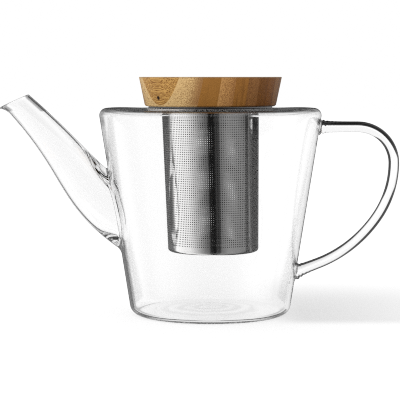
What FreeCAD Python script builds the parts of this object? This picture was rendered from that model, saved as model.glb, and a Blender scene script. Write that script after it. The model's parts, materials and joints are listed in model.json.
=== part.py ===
"""Glass teapot: a flame-worked pot with a perforated steel infuser and a laminated bamboo lid.

The origin is the middle of the standing ring, +Z is up, the spout points to -X and the handle to +X.
All sizes are millimetres and degrees.
"""
import FreeCAD, Part
import Sketcher
import math
import os
import re

POT_SIZES = {
    "body_height": 127.7,
    "wall_foot_radius": 49.0,
    "wall_top_radius": 69.2,
    "glass_wall": 2.2,
    "base_corner_radius": 6.5,
    "shoulder_corner_radius": 4.5,
    "push_up_radius": 33.0,
    "push_up_height": 1.6,
    "push_up_run": 3.0,
    "land_rise": 0.7,
    "land_foot_radius": 40.4,
    "land_top_radius": 39.2,
    "land_round": 0.25,
    "mouth_clearance": 1.6,
}
SPOUT_SIZES = {
    "spout_root_height": 65.5,
    "spout_root_lean": 36.5,
    "spout_root_pull": 27.9,
    "spout_tip_lean": 44.6,
    "spout_tip_pull": 46.8,
    "spout_run": 87.3,
    "spout_lean": 47.8,
    "spout_root_radius": 17.7,
    "spout_tip_radius": 8.2,
    "spout_wall": 1.8,
    "spout_lip_run": 7.5,
    "spout_lip_flare": 1.6,
    "spout_lip_lean": 24.5,
}
HANDLE_SIZES = {
    "rod_diameter": 6.55,
    "handle_height": 116.1,
    "handle_projection": 46.2,
    "handle_bend_radius": 22.5,
    "handle_back_radius": 59.2,
    "handle_back_turn": 33.6,
    "handle_tail_radius": 77.9,
    "handle_tail_turn": 35.3,
    "handle_foot_radius": 5.6,
    "handle_foot_run": 6.0,
}
INFUSER_SIZES = {
    "sheet_thickness": 0.5,
    "flange_radius": 38.2,
    "flange_thickness": 0.4,
    "collar_radius": 28.9,
    "collar_drop": 5.0,
    "collar_overlap": 4.0,
    "collar_clearance": 0.05,
    "tube_top_radius": 30.0,
    "tube_foot_radius": 28.2,
    "infuser_depth": 89.4,
    "cup_height": 4.3,
    "cup_round": 2.0,
}
LID_SIZES = {
    "lid_height": 18.0,
    "lid_foot_radius": 40.3,
    "lid_top_radius": 44.0,
    "lid_foot_round": 1.8,
    "lid_top_round": 0.4,
    "plug_radius": 27.2,
    "plug_depth": 9.0,
    "plug_round": 0.8,
    "strip_thickness": 8.1,
    "strip_bearing": 222.0,
    "seal_height": 3.2,
    "seal_drop": 2.6,
    "seal_thickness": 2.2,
    "seal_bite": 1.5,
    "seal_gap": 0.3,
    "groove_clearance": 0.1,
}
SIZES = {**POT_SIZES, **SPOUT_SIZES, **HANDLE_SIZES, **INFUSER_SIZES, **LID_SIZES}

WALL_SLOPE = "(wall_top_radius - wall_foot_radius) / body_height"
WALL_LEAN = "atan2(wall_top_radius - wall_foot_radius; body_height)"
INNER_OFFSET = f"glass_wall / cos({WALL_LEAN})"
MOUTH_RADIUS = "(tube_top_radius + mouth_clearance)"
SEAT_HEIGHT = "(body_height + land_rise)"
INFUSER_FOOT = f"({SEAT_HEIGHT} - infuser_depth)"
TUBE_TOP = f"({SEAT_HEIGHT} - collar_drop)"
TUBE_FOOT = f"({INFUSER_FOOT} + cup_height)"
LID_SEAT = f"({SEAT_HEIGHT} + flange_thickness)"
LID_TOP = f"({LID_SEAT} + lid_height)"
PLUG_FOOT = f"({LID_SEAT} - plug_depth)"
SPOUT_STATIONS = (-0.15, 0.0, 0.2, 0.4, 0.6, 0.8, 1.0)
MINUS_Y = FreeCAD.Vector(0, -1, 0)


def formula(text):
    """Write a size formula as an expression on the sheet's cells."""
    return re.sub("[a-z_]+", lambda word: f"sizes.{word[0]}" if word[0] in SIZES else word[0], text)


def value(doc, text):
    """Work a size formula out to a plain number."""
    result = doc.getObject("sizes").evalExpression(formula(text))
    return float(getattr(result, "Value", result))


def bind(item, **formulas):
    """Tie properties of an object to the sheet; a double underscore stands for a dot."""
    for name, text in formulas.items():
        item.setExpression(name.replace("__", "."), formula(text))


def place(item, x="0", y="0", z="0", axis=FreeCAD.Vector(0, 0, 1), angle="0"):
    """Tie an object's place and its turn about one axis to the sheet."""
    item.Placement = FreeCAD.Placement(FreeCAD.Vector(), FreeCAD.Rotation(axis, 45))
    bind(item, Placement__Base__x=x, Placement__Base__y=y, Placement__Base__z=z,
         Placement__Rotation__Angle=angle)


def size_sheet(doc):
    """Put every driving size in a sheet, one named cell each."""
    sheet = doc.addObject("Spreadsheet::Sheet", "sizes")
    for row, (alias, number) in enumerate(SIZES.items(), 1):
        sheet.set(f"A{row}", alias)
        sheet.set(f"B{row}", str(number))
        sheet.setAlias(f"B{row}", alias)
    doc.recompute()


def origin_plane(body, role):
    """The body's own origin plane of that role."""
    return next(plane for plane in body.Origin.OriginFeatures if plane.Role == role)


def new_sketch(body, label, role="XZ_Plane"):
    """An empty sketch on one of the body's origin planes."""
    sketch = body.newObject("Sketcher::SketchObject", label)
    sketch.AttachmentSupport = (origin_plane(body, role), [""])
    sketch.MapMode = "FlatFace"
    return sketch


def tie(sketch, text, *constraint):
    """Add a dimension to a sketch and bind it to a size formula."""
    index = sketch.addConstraint(Sketcher.Constraint(*constraint))
    sketch.setExpression(f"Constraints[{index}]", formula(text))


def tie_point(sketch, item, end, along, across):
    """Hold one end of a sketch line at a pair of size formulas, where "0" lies on the axis."""
    x, y = (value(sketch.Document, text) for text in (along, across))
    if along == "0":
        sketch.addConstraint(Sketcher.Constraint("PointOnObject", item, end, -2))
    else:
        tie(sketch, along, "DistanceX", -1, 1, item, end, x)
    if across == "0":
        sketch.addConstraint(Sketcher.Constraint("PointOnObject", item, end, -1))
    else:
        tie(sketch, across, "DistanceY", -1, 1, item, end, y)


def draw_outline(sketch, outline):
    """Draw a closed outline of straight lines through named corners."""
    corners = list(outline.values())
    points = [FreeCAD.Vector(*(value(sketch.Document, text) for text in corner), 0) for corner in corners]
    count = len(points)
    for index, point in enumerate(points):
        sketch.addGeometry(Part.LineSegment(point, points[(index + 1) % count]))
    for index, corner in enumerate(corners):
        sketch.addConstraint(Sketcher.Constraint("Coincident", (index - 1) % count, 2, index, 1))
        tie_point(sketch, index, 1, *corner)


def ring_edges(shape, radius, height):
    """Names of the round edges about Z at one radius and height."""
    names = []
    for number, edge in enumerate(shape.Edges, 1):
        start = edge.Vertexes[0].Point
        is_ring = isinstance(edge.Curve, Part.Circle)
        if is_ring and math.hypot(math.hypot(start.x, start.y) - radius, start.z - height) < 1e-5:
            names.append(f"Edge{number}")
    return names


def round_corners(doc, body, outline, rounds):
    """Round the named corners of a turned body, one fillet for each radius."""
    for radius, corners in rounds.items():
        doc.recompute()
        base = body.Tip
        edges = []
        for corner in corners:
            edges += ring_edges(base.Shape, *(value(doc, text) for text in outline[corner]))
        fillet = body.newObject("PartDesign::Fillet", f"{body.Name}_round")
        fillet.Base = (base, edges)
        bind(fillet, Radius=radius)


def turned_body(doc, label, outline, rounds):
    """A body turned about Z from a closed outline of (radius, height) corners."""
    body = doc.addObject("PartDesign::Body", label)
    sketch = new_sketch(body, f"{label}_outline")
    draw_outline(sketch, outline)
    turn = body.newObject("PartDesign::Revolution", f"{label}_turn")
    turn.Profile = sketch
    turn.ReferenceAxis = (sketch, ["V_Axis"])
    turn.Angle = 360
    round_corners(doc, body, outline, rounds)
    return body


def joined(doc, kind, label, base, tool):
    """A Part boolean of two objects."""
    item = doc.addObject(f"Part::{kind}", label)
    item.Base = base
    item.Tool = tool
    return item


def pot_outside(doc):
    """The cone that the outer face of the wall lies on, to cut the handle and spout against."""
    cone = doc.addObject("Part::Cone", "pot_outside")
    bind(cone, Radius1="wall_foot_radius", Radius2="wall_top_radius", Height="body_height")
    return cone


def pot_shell(doc):
    """The blown body: pushed-up base, conical wall, flat shoulder and a raised land round the mouth."""
    inner_foot = f"wall_foot_radius + glass_wall * {WALL_SLOPE} - {INNER_OFFSET}"
    inner_top = f"wall_top_radius - glass_wall * {WALL_SLOPE} - {INNER_OFFSET}"
    outline = {
        "push_up_middle": ("0", "push_up_height"),
        "push_up_edge": ("push_up_radius", "push_up_height"),
        "ring_inside": ("push_up_radius + push_up_run", "0"),
        "foot": ("wall_foot_radius", "0"),
        "shoulder": ("wall_top_radius", "body_height"),
        "land_foot": ("land_foot_radius", "body_height"),
        "land_top": ("land_top_radius", SEAT_HEIGHT),
        "mouth_top": (MOUTH_RADIUS, SEAT_HEIGHT),
        "mouth_foot": (MOUTH_RADIUS, "body_height - glass_wall"),
        "inner_shoulder": (inner_top, "body_height - glass_wall"),
        "inner_foot": (inner_foot, "glass_wall"),
        "inner_ring": ("push_up_radius + push_up_run", "glass_wall"),
        "inner_push_up_edge": ("push_up_radius", "push_up_height + glass_wall"),
        "inner_middle": ("0", "push_up_height + glass_wall"),
    }
    rounds = {
        "base_corner_radius": ["foot"],
        "base_corner_radius - glass_wall": ["inner_foot"],
        "shoulder_corner_radius": ["shoulder"],
        "shoulder_corner_radius - glass_wall": ["inner_shoulder"],
        "land_round": ["land_top", "mouth_top", "mouth_foot"],
    }
    return turned_body(doc, "pot_shell", outline, rounds)


def spout_curve(along, across):
    """The four points that pull the spout's centre line, from the wall out to the tip."""
    root = f"-(wall_foot_radius + {WALL_SLOPE} * spout_root_height)" if along else "spout_root_height"
    tip = f"({root} + spout_run * {across}(spout_lean))"
    return (
        f"({root})",
        f"({root} + spout_root_pull * {across}(spout_root_lean))",
        f"({tip} - spout_tip_pull * {across}(spout_tip_lean))",
        tip,
    )


SPOUT_X = spout_curve(True, "-1 * cos")
SPOUT_Z = spout_curve(False, "sin")


def spout_point(points, share):
    """Formula of the centre line's cubic curve at a share of its length."""
    weights = [math.comb(3, power) * (1 - share) ** (3 - power) * share ** power for power in range(4)]
    return " + ".join(f"{weight} * {point}" for weight, point in zip(weights, points))


def spout_heading(points, share):
    """Formula of the centre line's direction at a share of its length."""
    weights = [math.comb(2, power) * (1 - share) ** (2 - power) * share ** power for power in range(3)]
    steps = [f"({after} - {before})" for before, after in zip(points, points[1:])]
    return " + ".join(f"{weight} * {step}" for weight, step in zip(weights, steps))


def spout_loft(doc, label, inset, extra_lip):
    """A solid through round sections of the spout, drawn in by an inset and run on past the lip."""
    sections = []
    for number, share in enumerate(SPOUT_STATIONS, 1):
        ring = doc.addObject("Part::Circle", f"{label}_section_{number}")
        heading_x, heading_z = (spout_heading(points, share) for points in (SPOUT_X, SPOUT_Z))
        place(ring, x=spout_point(SPOUT_X, share), z=spout_point(SPOUT_Z, share), axis=MINUS_Y,
              angle=f"atan2(-1 * ({heading_x}); {heading_z})")
        taper = f"(spout_root_radius - spout_tip_radius) * {1 - share}"
        bind(ring, Radius=f"spout_tip_radius + {taper} - {inset}")
        sections.append(ring)
    lip = doc.addObject("Part::Circle", f"{label}_lip")
    place(lip, x=f"{SPOUT_X[3]} - (spout_lip_run + {extra_lip}) * cos(spout_tip_lean)",
          z=f"{SPOUT_Z[3]} + (spout_lip_run + {extra_lip}) * sin(spout_tip_lean)", axis=MINUS_Y,
          angle="90 - spout_tip_lean")
    bind(lip, Radius=f"spout_tip_radius + spout_lip_flare - {inset}")
    loft = doc.addObject("Part::Loft", label)
    loft.Sections = sections + [lip]
    loft.Solid = True
    return loft


def lip_trim(doc):
    """The block above the spout's slanted pouring lip."""
    block = doc.addObject("Part::Box", "lip_trim")
    reach = "2 * spout_root_radius"
    lip_x = f"{SPOUT_X[3]} + spout_tip_radius * sin(spout_tip_lean)"
    lip_z = f"{SPOUT_Z[3]} + spout_tip_radius * cos(spout_tip_lean)"
    bind(block, Length=f"2 * {reach}", Width=f"2 * {reach}", Height=reach)
    place(block, x=f"{lip_x} - {reach} * cos(spout_lip_lean)", y=f"-({reach})",
          z=f"{lip_z} - {reach} * sin(spout_lip_lean)", axis=MINUS_Y, angle="spout_lip_lean")
    return block


def glass_pieces(doc):
    """The body with its pouring hole, and the spout that is welded over that hole."""
    outside = pot_outside(doc)
    bore = spout_loft(doc, "spout_bore", "spout_wall", "spout_wall")
    body = joined(doc, "Cut", "glass_body", pot_shell(doc), bore)
    blank = joined(doc, "Cut", "spout_tube", spout_loft(doc, "spout_blank", "0", "0"), bore)
    lipped = joined(doc, "Cut", "spout_lipped", blank, lip_trim(doc))
    spout = joined(doc, "Cut", "spout", lipped, outside)
    return [body, spout, glass_handle(doc, outside)]


WALL_AT_HANDLE = f"(wall_foot_radius + {WALL_SLOPE} * handle_height)"
HANDLE_REACH = f"({WALL_AT_HANDLE} + handle_projection)"
HANDLE_TURN = "(handle_back_turn + handle_tail_turn)"
BACK_END_X = f"({HANDLE_REACH} - handle_back_radius * (1 - cos(handle_back_turn)))"
BACK_END_Z = "(handle_height - handle_bend_radius - handle_back_radius * sin(handle_back_turn))"
TAIL_X = f"({BACK_END_X} - handle_tail_radius * (cos(handle_back_turn) - cos({HANDLE_TURN})))"
TAIL_Z = f"({BACK_END_Z} - handle_tail_radius * (sin({HANDLE_TURN}) - sin(handle_back_turn)))"
TAIL_RUN = (f"(({TAIL_X} - wall_foot_radius - {WALL_SLOPE} * {TAIL_Z})"
            f" / (sin({HANDLE_TURN}) - {WALL_SLOPE} * cos({HANDLE_TURN})))")
ROD_EMBED = "rod_diameter"
ROD_START = f"({WALL_AT_HANDLE} - {ROD_EMBED})"
ROD_TAIL_RUN = f"({TAIL_RUN} + {ROD_EMBED})"


def arc_edge(centre, radius, start, end):
    """A sketch arc from its centre, radius and two angles in degrees."""
    circle = Part.Circle(FreeCAD.Vector(*centre, 0), FreeCAD.Vector(0, 0, 1), radius)
    return Part.ArcOfCircle(circle, math.radians(start), math.radians(end))


def handle_path(doc, sketch):
    """Draw the rod's route: out from the wall, round the top bend, down the back and in to the wall."""
    top, reach, start = (value(doc, text) for text in ("handle_height", HANDLE_REACH, ROD_START))
    bend, back, tail = (value(doc, f"handle_{name}_radius") for name in ("bend", "back", "tail"))
    back_turn, turn = (value(doc, text) for text in ("handle_back_turn", HANDLE_TURN))
    tail_x, tail_z, tail_run = (value(doc, text) for text in (TAIL_X, TAIL_Z, ROD_TAIL_RUN))
    middle = top - bend
    lean = math.radians(turn)
    tail_centre = (tail_x - tail * math.cos(lean), tail_z + tail * math.sin(lean))
    tail_end = (tail_x - tail_run * math.sin(lean), tail_z - tail_run * math.cos(lean))
    sketch.addGeometry(Part.LineSegment(FreeCAD.Vector(start, top, 0), FreeCAD.Vector(reach - bend, top, 0)))
    sketch.addGeometry(arc_edge((reach - bend, middle), bend, 0, 90))
    sketch.addGeometry(arc_edge((reach - back, middle), back, -back_turn, 0))
    sketch.addGeometry(arc_edge(tail_centre, tail, -turn, -back_turn))
    sketch.addGeometry(Part.LineSegment(FreeCAD.Vector(tail_x, tail_z, 0), FreeCAD.Vector(*tail_end, 0)))
    sketch.addConstraint(Sketcher.Constraint("Tangent", 0, 2, 1, 2))
    sketch.addConstraint(Sketcher.Constraint("Tangent", 1, 1, 2, 2))
    sketch.addConstraint(Sketcher.Constraint("Tangent", 2, 1, 3, 2))
    sketch.addConstraint(Sketcher.Constraint("Tangent", 3, 1, 4, 1))
    sketch.addConstraint(Sketcher.Constraint("Horizontal", 0))
    tie_point(sketch, 0, 1, ROD_START, "handle_height")
    tie(sketch, HANDLE_REACH, "DistanceX", -1, 1, 1, 1, reach)
    tie(sketch, "handle_height - handle_bend_radius", "DistanceY", -1, 1, 1, 1, middle)
    tie(sketch, "handle_bend_radius", "Radius", 1, bend)
    tie(sketch, "handle_back_radius", "Radius", 2, back)
    tie(sketch, BACK_END_Z, "DistanceY", -1, 1, 2, 1, value(doc, BACK_END_Z))
    tie(sketch, "handle_tail_radius", "Radius", 3, tail)
    tie(sketch, TAIL_Z, "DistanceY", -1, 1, 4, 1, tail_z)
    tie(sketch, ROD_TAIL_RUN, "Distance", 4, 1, 4, 2, tail_run)


def handle_rod(doc):
    """The bare bent rod, long enough to run into the wall at both ends."""
    body = doc.addObject("PartDesign::Body", "handle_rod")
    path = new_sketch(body, "handle_path")
    handle_path(doc, path)
    section = new_sketch(body, "rod_section", "YZ_Plane")
    bind(section, AttachmentOffset__Base__z=ROD_START)
    section.addGeometry(Part.Circle(FreeCAD.Vector(0, value(doc, "handle_height"), 0),
                                    FreeCAD.Vector(0, 0, 1), value(doc, "rod_diameter / 2")))
    section.addConstraint(Sketcher.Constraint("PointOnObject", 0, 3, -2))
    tie(section, "handle_height", "DistanceY", -1, 1, 0, 3, value(doc, "handle_height"))
    tie(section, "rod_diameter", "Diameter", 0, value(doc, "rod_diameter"))
    pipe = body.newObject("PartDesign::AdditivePipe", "rod_pipe")
    pipe.Profile = section
    pipe.Spine = (path, [f"Edge{number}" for number in range(1, path.GeometryCount + 1)])
    return body


def handle_foot(doc, label, run_x, run_z, angle):
    """A flared weld foot that widens from the rod towards the wall."""
    cone = doc.addObject("Part::Cone", label)
    flare = "(handle_foot_radius - rod_diameter / 2) / handle_foot_run"
    bind(cone, Radius1=f"handle_foot_radius + {flare} * {ROD_EMBED}", Radius2="rod_diameter / 2",
         Height=f"handle_foot_run + {ROD_EMBED}")
    place(cone, x=run_x, z=run_z, axis=FreeCAD.Vector(0, 1, 0), angle=angle)
    return cone


def glass_handle(doc, outside):
    """The bent rod with a flared foot at each weld, cut to lie on the wall."""
    top_foot = handle_foot(doc, "handle_top_foot", ROD_START, "handle_height", "90")
    low_foot = handle_foot(doc, "handle_low_foot", f"{TAIL_X} - {ROD_TAIL_RUN} * sin({HANDLE_TURN})",
                           f"{TAIL_Z} - {ROD_TAIL_RUN} * cos({HANDLE_TURN})", HANDLE_TURN)
    blank = doc.addObject("Part::MultiFuse", "handle_blank")
    blank.Shapes = [handle_rod(doc), top_foot, low_foot]
    blank.Refine = True
    return joined(doc, "Cut", "handle", blank, outside)


def infuser_rim(doc):
    """The flange that hangs on the mouth, with a collar that steps out inside the tube."""
    lap_radius = "(tube_top_radius - sheet_thickness - collar_clearance)"
    tube_length = "(infuser_depth - cup_height - collar_drop)"
    lap_taper = f"(tube_top_radius - tube_foot_radius) * collar_overlap / {tube_length}"
    step_height = f"{TUBE_TOP} - ({lap_radius} - collar_radius)"
    lap_foot = f"{TUBE_TOP} - collar_overlap"
    outline = {
        "flange_edge_foot": ("flange_radius", SEAT_HEIGHT),
        "flange_edge_top": ("flange_radius", LID_SEAT),
        "bore_top": ("collar_radius - sheet_thickness", LID_SEAT),
        "bore_step": ("collar_radius - sheet_thickness", TUBE_TOP),
        "bore_lap": (f"{lap_radius} - {lap_taper} - sheet_thickness", step_height),
        "bore_foot": (f"{lap_radius} - {lap_taper} - sheet_thickness", lap_foot),
        "lap_foot": (f"{lap_radius} - {lap_taper}", lap_foot),
        "lap_top": (f"{lap_radius} - {lap_taper}", step_height),
        "neck_foot": ("collar_radius", TUBE_TOP),
        "neck_top": ("collar_radius", SEAT_HEIGHT),
    }
    return turned_body(doc, "infuser_rim", outline, {"flange_thickness": ["neck_top"]})


def infuser_wall(doc):
    """The tapered tube of perforated sheet."""
    outline = {
        "foot_inside": ("tube_foot_radius - sheet_thickness", TUBE_FOOT),
        "foot_outside": ("tube_foot_radius", TUBE_FOOT),
        "top_outside": ("tube_top_radius", TUBE_TOP),
        "top_inside": ("tube_top_radius - sheet_thickness", TUBE_TOP),
    }
    return turned_body(doc, "infuser_wall", outline, {})


def infuser_base(doc):
    """The drawn cup that closes the tube, edge to edge with it."""
    outline = {
        "middle_below": ("0", INFUSER_FOOT),
        "corner": ("tube_foot_radius", INFUSER_FOOT),
        "rim_outside": ("tube_foot_radius", TUBE_FOOT),
        "rim_inside": ("tube_foot_radius - sheet_thickness", TUBE_FOOT),
        "inner_corner": ("tube_foot_radius - sheet_thickness", f"{INFUSER_FOOT} + sheet_thickness"),
        "middle_above": ("0", f"{INFUSER_FOOT} + sheet_thickness"),
    }
    rounds = {"cup_round": ["corner"], "cup_round - sheet_thickness": ["inner_corner"]}
    return turned_body(doc, "infuser_base", outline, rounds)


GROOVE_RADIUS = "(plug_radius - seal_bite)"
GROOVE_TOP = f"({LID_SEAT} - seal_drop)"
GROOVE_FOOT = f"({GROOVE_TOP} - seal_height - 2 * groove_clearance)"
SEAL_RADIUS = "(collar_radius - sheet_thickness - seal_gap)"


def lid_blank(doc):
    """The turned lid: a flared disc with a plug below it and a groove for the seal."""
    outline = {
        "plug_middle": ("0", PLUG_FOOT),
        "plug_edge": ("plug_radius", PLUG_FOOT),
        "groove_foot": ("plug_radius", GROOVE_FOOT),
        "groove_floor_foot": (GROOVE_RADIUS, GROOVE_FOOT),
        "groove_floor_top": (GROOVE_RADIUS, GROOVE_TOP),
        "groove_top": ("plug_radius", GROOVE_TOP),
        "plug_top": ("plug_radius", LID_SEAT),
        "rim_foot": ("lid_foot_radius", LID_SEAT),
        "rim_top": ("lid_top_radius", LID_TOP),
        "top_middle": ("0", LID_TOP),
    }
    rounds = {"plug_round": ["plug_edge"], "lid_foot_round": ["rim_foot"], "lid_top_round": ["rim_top"]}
    return turned_body(doc, "lid_blank", outline, rounds)


def lid_strips(doc):
    """The bamboo strips that the lid is laminated from, each the part of the turned lid in one layer."""
    blank = lid_blank(doc)
    reach = "(2 * lid_top_radius)"
    side = value(doc, "lid_top_radius") // value(doc, "strip_thickness")
    edges = [f"{layer} * strip_thickness" for layer in range(-int(side), int(side) + 1)]
    starts = [f"-{reach}"] + edges
    ends = edges + [reach]
    strips = []
    for number, (start, end) in enumerate(zip(starts, ends), 1):
        layer = doc.addObject("Part::Box", f"lid_layer_{number:02d}")
        bind(layer, Length=f"{end} - ({start})", Width=f"2 * {reach}", Height="lid_height + 2 * plug_depth")
        place(layer, x=f"({start}) * cos(strip_bearing) + {reach} * sin(strip_bearing)",
              y=f"({start}) * sin(strip_bearing) - {reach} * cos(strip_bearing)",
              z=f"{PLUG_FOOT} - plug_depth / 2", angle="strip_bearing")
        strips.append(joined(doc, "Common", f"lid_strip_{number:02d}", blank, layer))
    return strips


def lid_seal(doc):
    """The silicone ring in the plug's groove, with a lip above and below."""
    waist = f"({SEAL_RADIUS} - seal_thickness / 4)"
    inside = f"({GROOVE_RADIUS} + groove_clearance)"
    foot = f"({GROOVE_FOOT} + groove_clearance)"
    outline = {
        "inside_foot": (inside, foot),
        "lower_lip_foot": (waist, foot),
        "lower_lip": (SEAL_RADIUS, f"{foot} + seal_height / 4"),
        "waist": (waist, f"{foot} + seal_height / 2"),
        "upper_lip": (SEAL_RADIUS, f"{foot} + seal_height * 3 / 4"),
        "upper_lip_top": (waist, f"{foot} + seal_height"),
        "inside_top": (inside, f"{foot} + seal_height"),
    }
    return turned_body(doc, "lid_seal", outline, {})


def check(doc, pieces):
    """Stop if any object failed or any piece has no sound solid."""
    failed = [item.Label for item in doc.Objects if {"Invalid", "Error"} & set(item.State)]
    unsound = [piece.Label for piece in pieces
               if piece.Shape.isNull() or not piece.Shape.isValid() or len(piece.Shape.Solids) != 1]
    if failed or unsound:
        raise RuntimeError(f"failed objects {failed}, unsound pieces {unsound}")


def main():
    """Build the document, test it and write one STEP file for each piece."""
    doc = FreeCAD.newDocument("glass_teapot")
    size_sheet(doc)
    pieces = glass_pieces(doc)
    pieces += [infuser_rim(doc), infuser_wall(doc), infuser_base(doc)]
    pieces += lid_strips(doc) + [lid_seal(doc)]
    doc.recompute()
    check(doc, pieces)
    os.makedirs("parts", exist_ok=True)
    for piece in pieces:
        piece.Shape.exportStep(f"parts/{piece.Label}.step")
        print(f"{piece.Label}: {piece.Shape.Volume:.1f} cubic millimetres")


main()
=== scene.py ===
"""Glass teapot: the looks of a flame-worked pot, its perforated steel infuser and its bamboo lid.

Sizes are millimetres in the pot's own frame, as on the part: the origin is the middle of the standing ring, +Z is up,
the spout points to -X and the handle to +X. Meshes are written in metres. Finishes read Object coordinates, so their
places are metres, and a pair of numbers there is where a smooth change starts and where it ends.
"""
import json
import logging
import math
from collections.abc import Callable
from dataclasses import dataclass
from enum import Enum

import bmesh
import bpy
import numpy as np
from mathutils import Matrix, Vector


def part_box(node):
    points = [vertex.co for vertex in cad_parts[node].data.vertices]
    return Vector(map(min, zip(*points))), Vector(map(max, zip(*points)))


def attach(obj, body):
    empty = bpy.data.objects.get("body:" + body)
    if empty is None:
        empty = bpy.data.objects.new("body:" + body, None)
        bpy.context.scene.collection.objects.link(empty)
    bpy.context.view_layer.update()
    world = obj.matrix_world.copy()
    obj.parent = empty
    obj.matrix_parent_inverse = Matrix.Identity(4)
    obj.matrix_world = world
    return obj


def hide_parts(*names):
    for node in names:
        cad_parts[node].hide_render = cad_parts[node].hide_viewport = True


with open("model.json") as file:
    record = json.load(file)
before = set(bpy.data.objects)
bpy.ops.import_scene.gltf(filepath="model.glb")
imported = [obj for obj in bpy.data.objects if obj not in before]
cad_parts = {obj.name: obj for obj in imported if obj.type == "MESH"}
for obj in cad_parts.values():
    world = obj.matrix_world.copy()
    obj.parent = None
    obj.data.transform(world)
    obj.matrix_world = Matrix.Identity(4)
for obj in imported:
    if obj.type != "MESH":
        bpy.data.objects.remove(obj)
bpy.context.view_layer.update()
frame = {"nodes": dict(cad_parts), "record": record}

MM = 0.001
LOG = logging.getLogger("teapot")
ARC_STEP = math.radians(9)
ARC_PIECES = 3
UP = np.array([0.0, 0.0, 1.0])
Colour = tuple[float, float, float]
Triple = tuple[float, float, float]
Paint = tuple[float, float, float, float]
Range = tuple[float, float]
Skin = Callable[[np.ndarray, np.ndarray], np.ndarray]
Level = Callable[[np.ndarray], np.ndarray]
WHITE: Paint = (1.0, 1.0, 1.0, 1.0)


class Slot(Enum):
    """The record's material slots that go with the new pieces."""

    GLASS = "clear_glass"
    RIM = "polished_steel"
    SCREEN = "perforated_steel"
    SEAL = "silicone"


class Body(Enum):
    """The bodies that pieces ride on."""

    POT = "pot"
    INFUSER = "infuser"
    LID = "lid"


class MeshBuilder:
    """Gathers points and faces as whole arrays and makes one mesh of them."""

    def __init__(self) -> None:
        """Start with no points and no faces."""
        self.blocks: list[np.ndarray] = []
        self.faces: dict[int, list[np.ndarray]] = {3: [], 4: []}
        self.slots: dict[int, list[np.ndarray]] = {3: [], 4: []}
        self.count = 0

    def add(self, points: np.ndarray) -> np.ndarray:
        """Add points and number them.

        Args:
            points: array of shape (..., 3), in millimetres.
        Returns:
            The points' indices, of shape (...).
        """
        index = np.arange(self.count, self.count + points[..., 0].size).reshape(points.shape[:-1])
        self.blocks.append(points.reshape(-1, 3))
        self.count += index.size
        return index

    def face(self, corners: np.ndarray, slot: int = 0) -> None:
        """Add faces of three or four corners.

        Args:
            corners: indices of shape (..., corners).
            slot: material slot of the faces.
        """
        sides = corners.shape[-1]
        flat = corners.reshape(-1, sides)
        self.faces[sides].append(flat)
        self.slots[sides].append(np.full(len(flat), slot))

    def join(self, rows: np.ndarray, around: bool = True, keep: np.ndarray | None = None, slot: int = 0) -> None:
        """Join each row of indices to the next one with quads.

        Args:
            rows: indices of shape (rows, columns).
            around: whether the last column joins the first.
            keep: optional mask of the quads to make, one for each row step and column step.
            slot: material slot of the faces.
        """
        after = np.roll(rows, -1, axis=1) if around else rows[:, 1:]
        before = rows if around else rows[:, :-1]
        quads = np.stack([before[:-1], after[:-1], after[1:], before[1:]], axis=-1)
        self.face(quads if keep is None else quads[keep], slot)

    def cap(self, rows: np.ndarray, first: np.ndarray, last: np.ndarray) -> None:
        """Close the first and the last row with triangles that meet at a point each.

        Args:
            rows: indices of shape (rows, columns).
            first: the point that closes the first row.
            last: the point that closes the last row.
        """
        poles = self.add(np.stack([first, last]))
        for pole, ring in zip(poles, (rows[0], rows[-1])):
            self.face(np.stack([ring, np.roll(ring, -1), np.full_like(ring, pole)], axis=-1))

    def build(self, name: str, finishes: list["Finish"], crease: float = 40.0) -> bpy.types.Object:
        """Make the mesh object, with its faces pointing outwards.

        Args:
            name: name of the new piece.
            finishes: one finish for each material slot.
            crease: angle in degrees above which an edge stays sharp.
        Returns:
            The new object, at the origin.
        """
        points = np.concatenate(self.blocks) * MM
        used = [sides for sides in (3, 4) if self.faces[sides]]
        loops = np.concatenate([np.concatenate(self.faces[sides]).ravel() for sides in used])
        slots = np.concatenate([np.concatenate(self.slots[sides]) for sides in used])
        totals = np.concatenate([np.full(sum(map(len, self.faces[sides])), sides) for sides in used])
        mesh = bpy.data.meshes.new(name)
        mesh.vertices.add(len(points))
        mesh.vertices.foreach_set("co", points.ravel().astype(np.float32))
        mesh.loops.add(len(loops))
        mesh.loops.foreach_set("vertex_index", loops.astype(np.int32))
        mesh.polygons.add(len(totals))
        mesh.polygons.foreach_set("loop_start", (np.cumsum(totals) - totals).astype(np.int32))
        mesh.polygons.foreach_set("material_index", slots.astype(np.int32))
        mesh.update(calc_edges=True)
        mesh.validate()
        point_outwards(mesh)
        mesh.shade_smooth()
        mesh.set_sharp_from_angle(angle=math.radians(crease))
        for finish in finishes:
            mesh.materials.append(finish.material())
        item = bpy.data.objects.new(name, mesh)
        bpy.context.scene.collection.objects.link(item)
        return item


def point_outwards(mesh: bpy.types.Mesh) -> None:
    """Turn a closed mesh's faces outwards.

    Args:
        mesh: the mesh, changed in place.
    """
    shell = bmesh.new()
    shell.from_mesh(mesh)
    bmesh.ops.recalc_face_normals(shell, faces=shell.faces)
    shell.to_mesh(mesh)
    shell.free()


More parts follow.
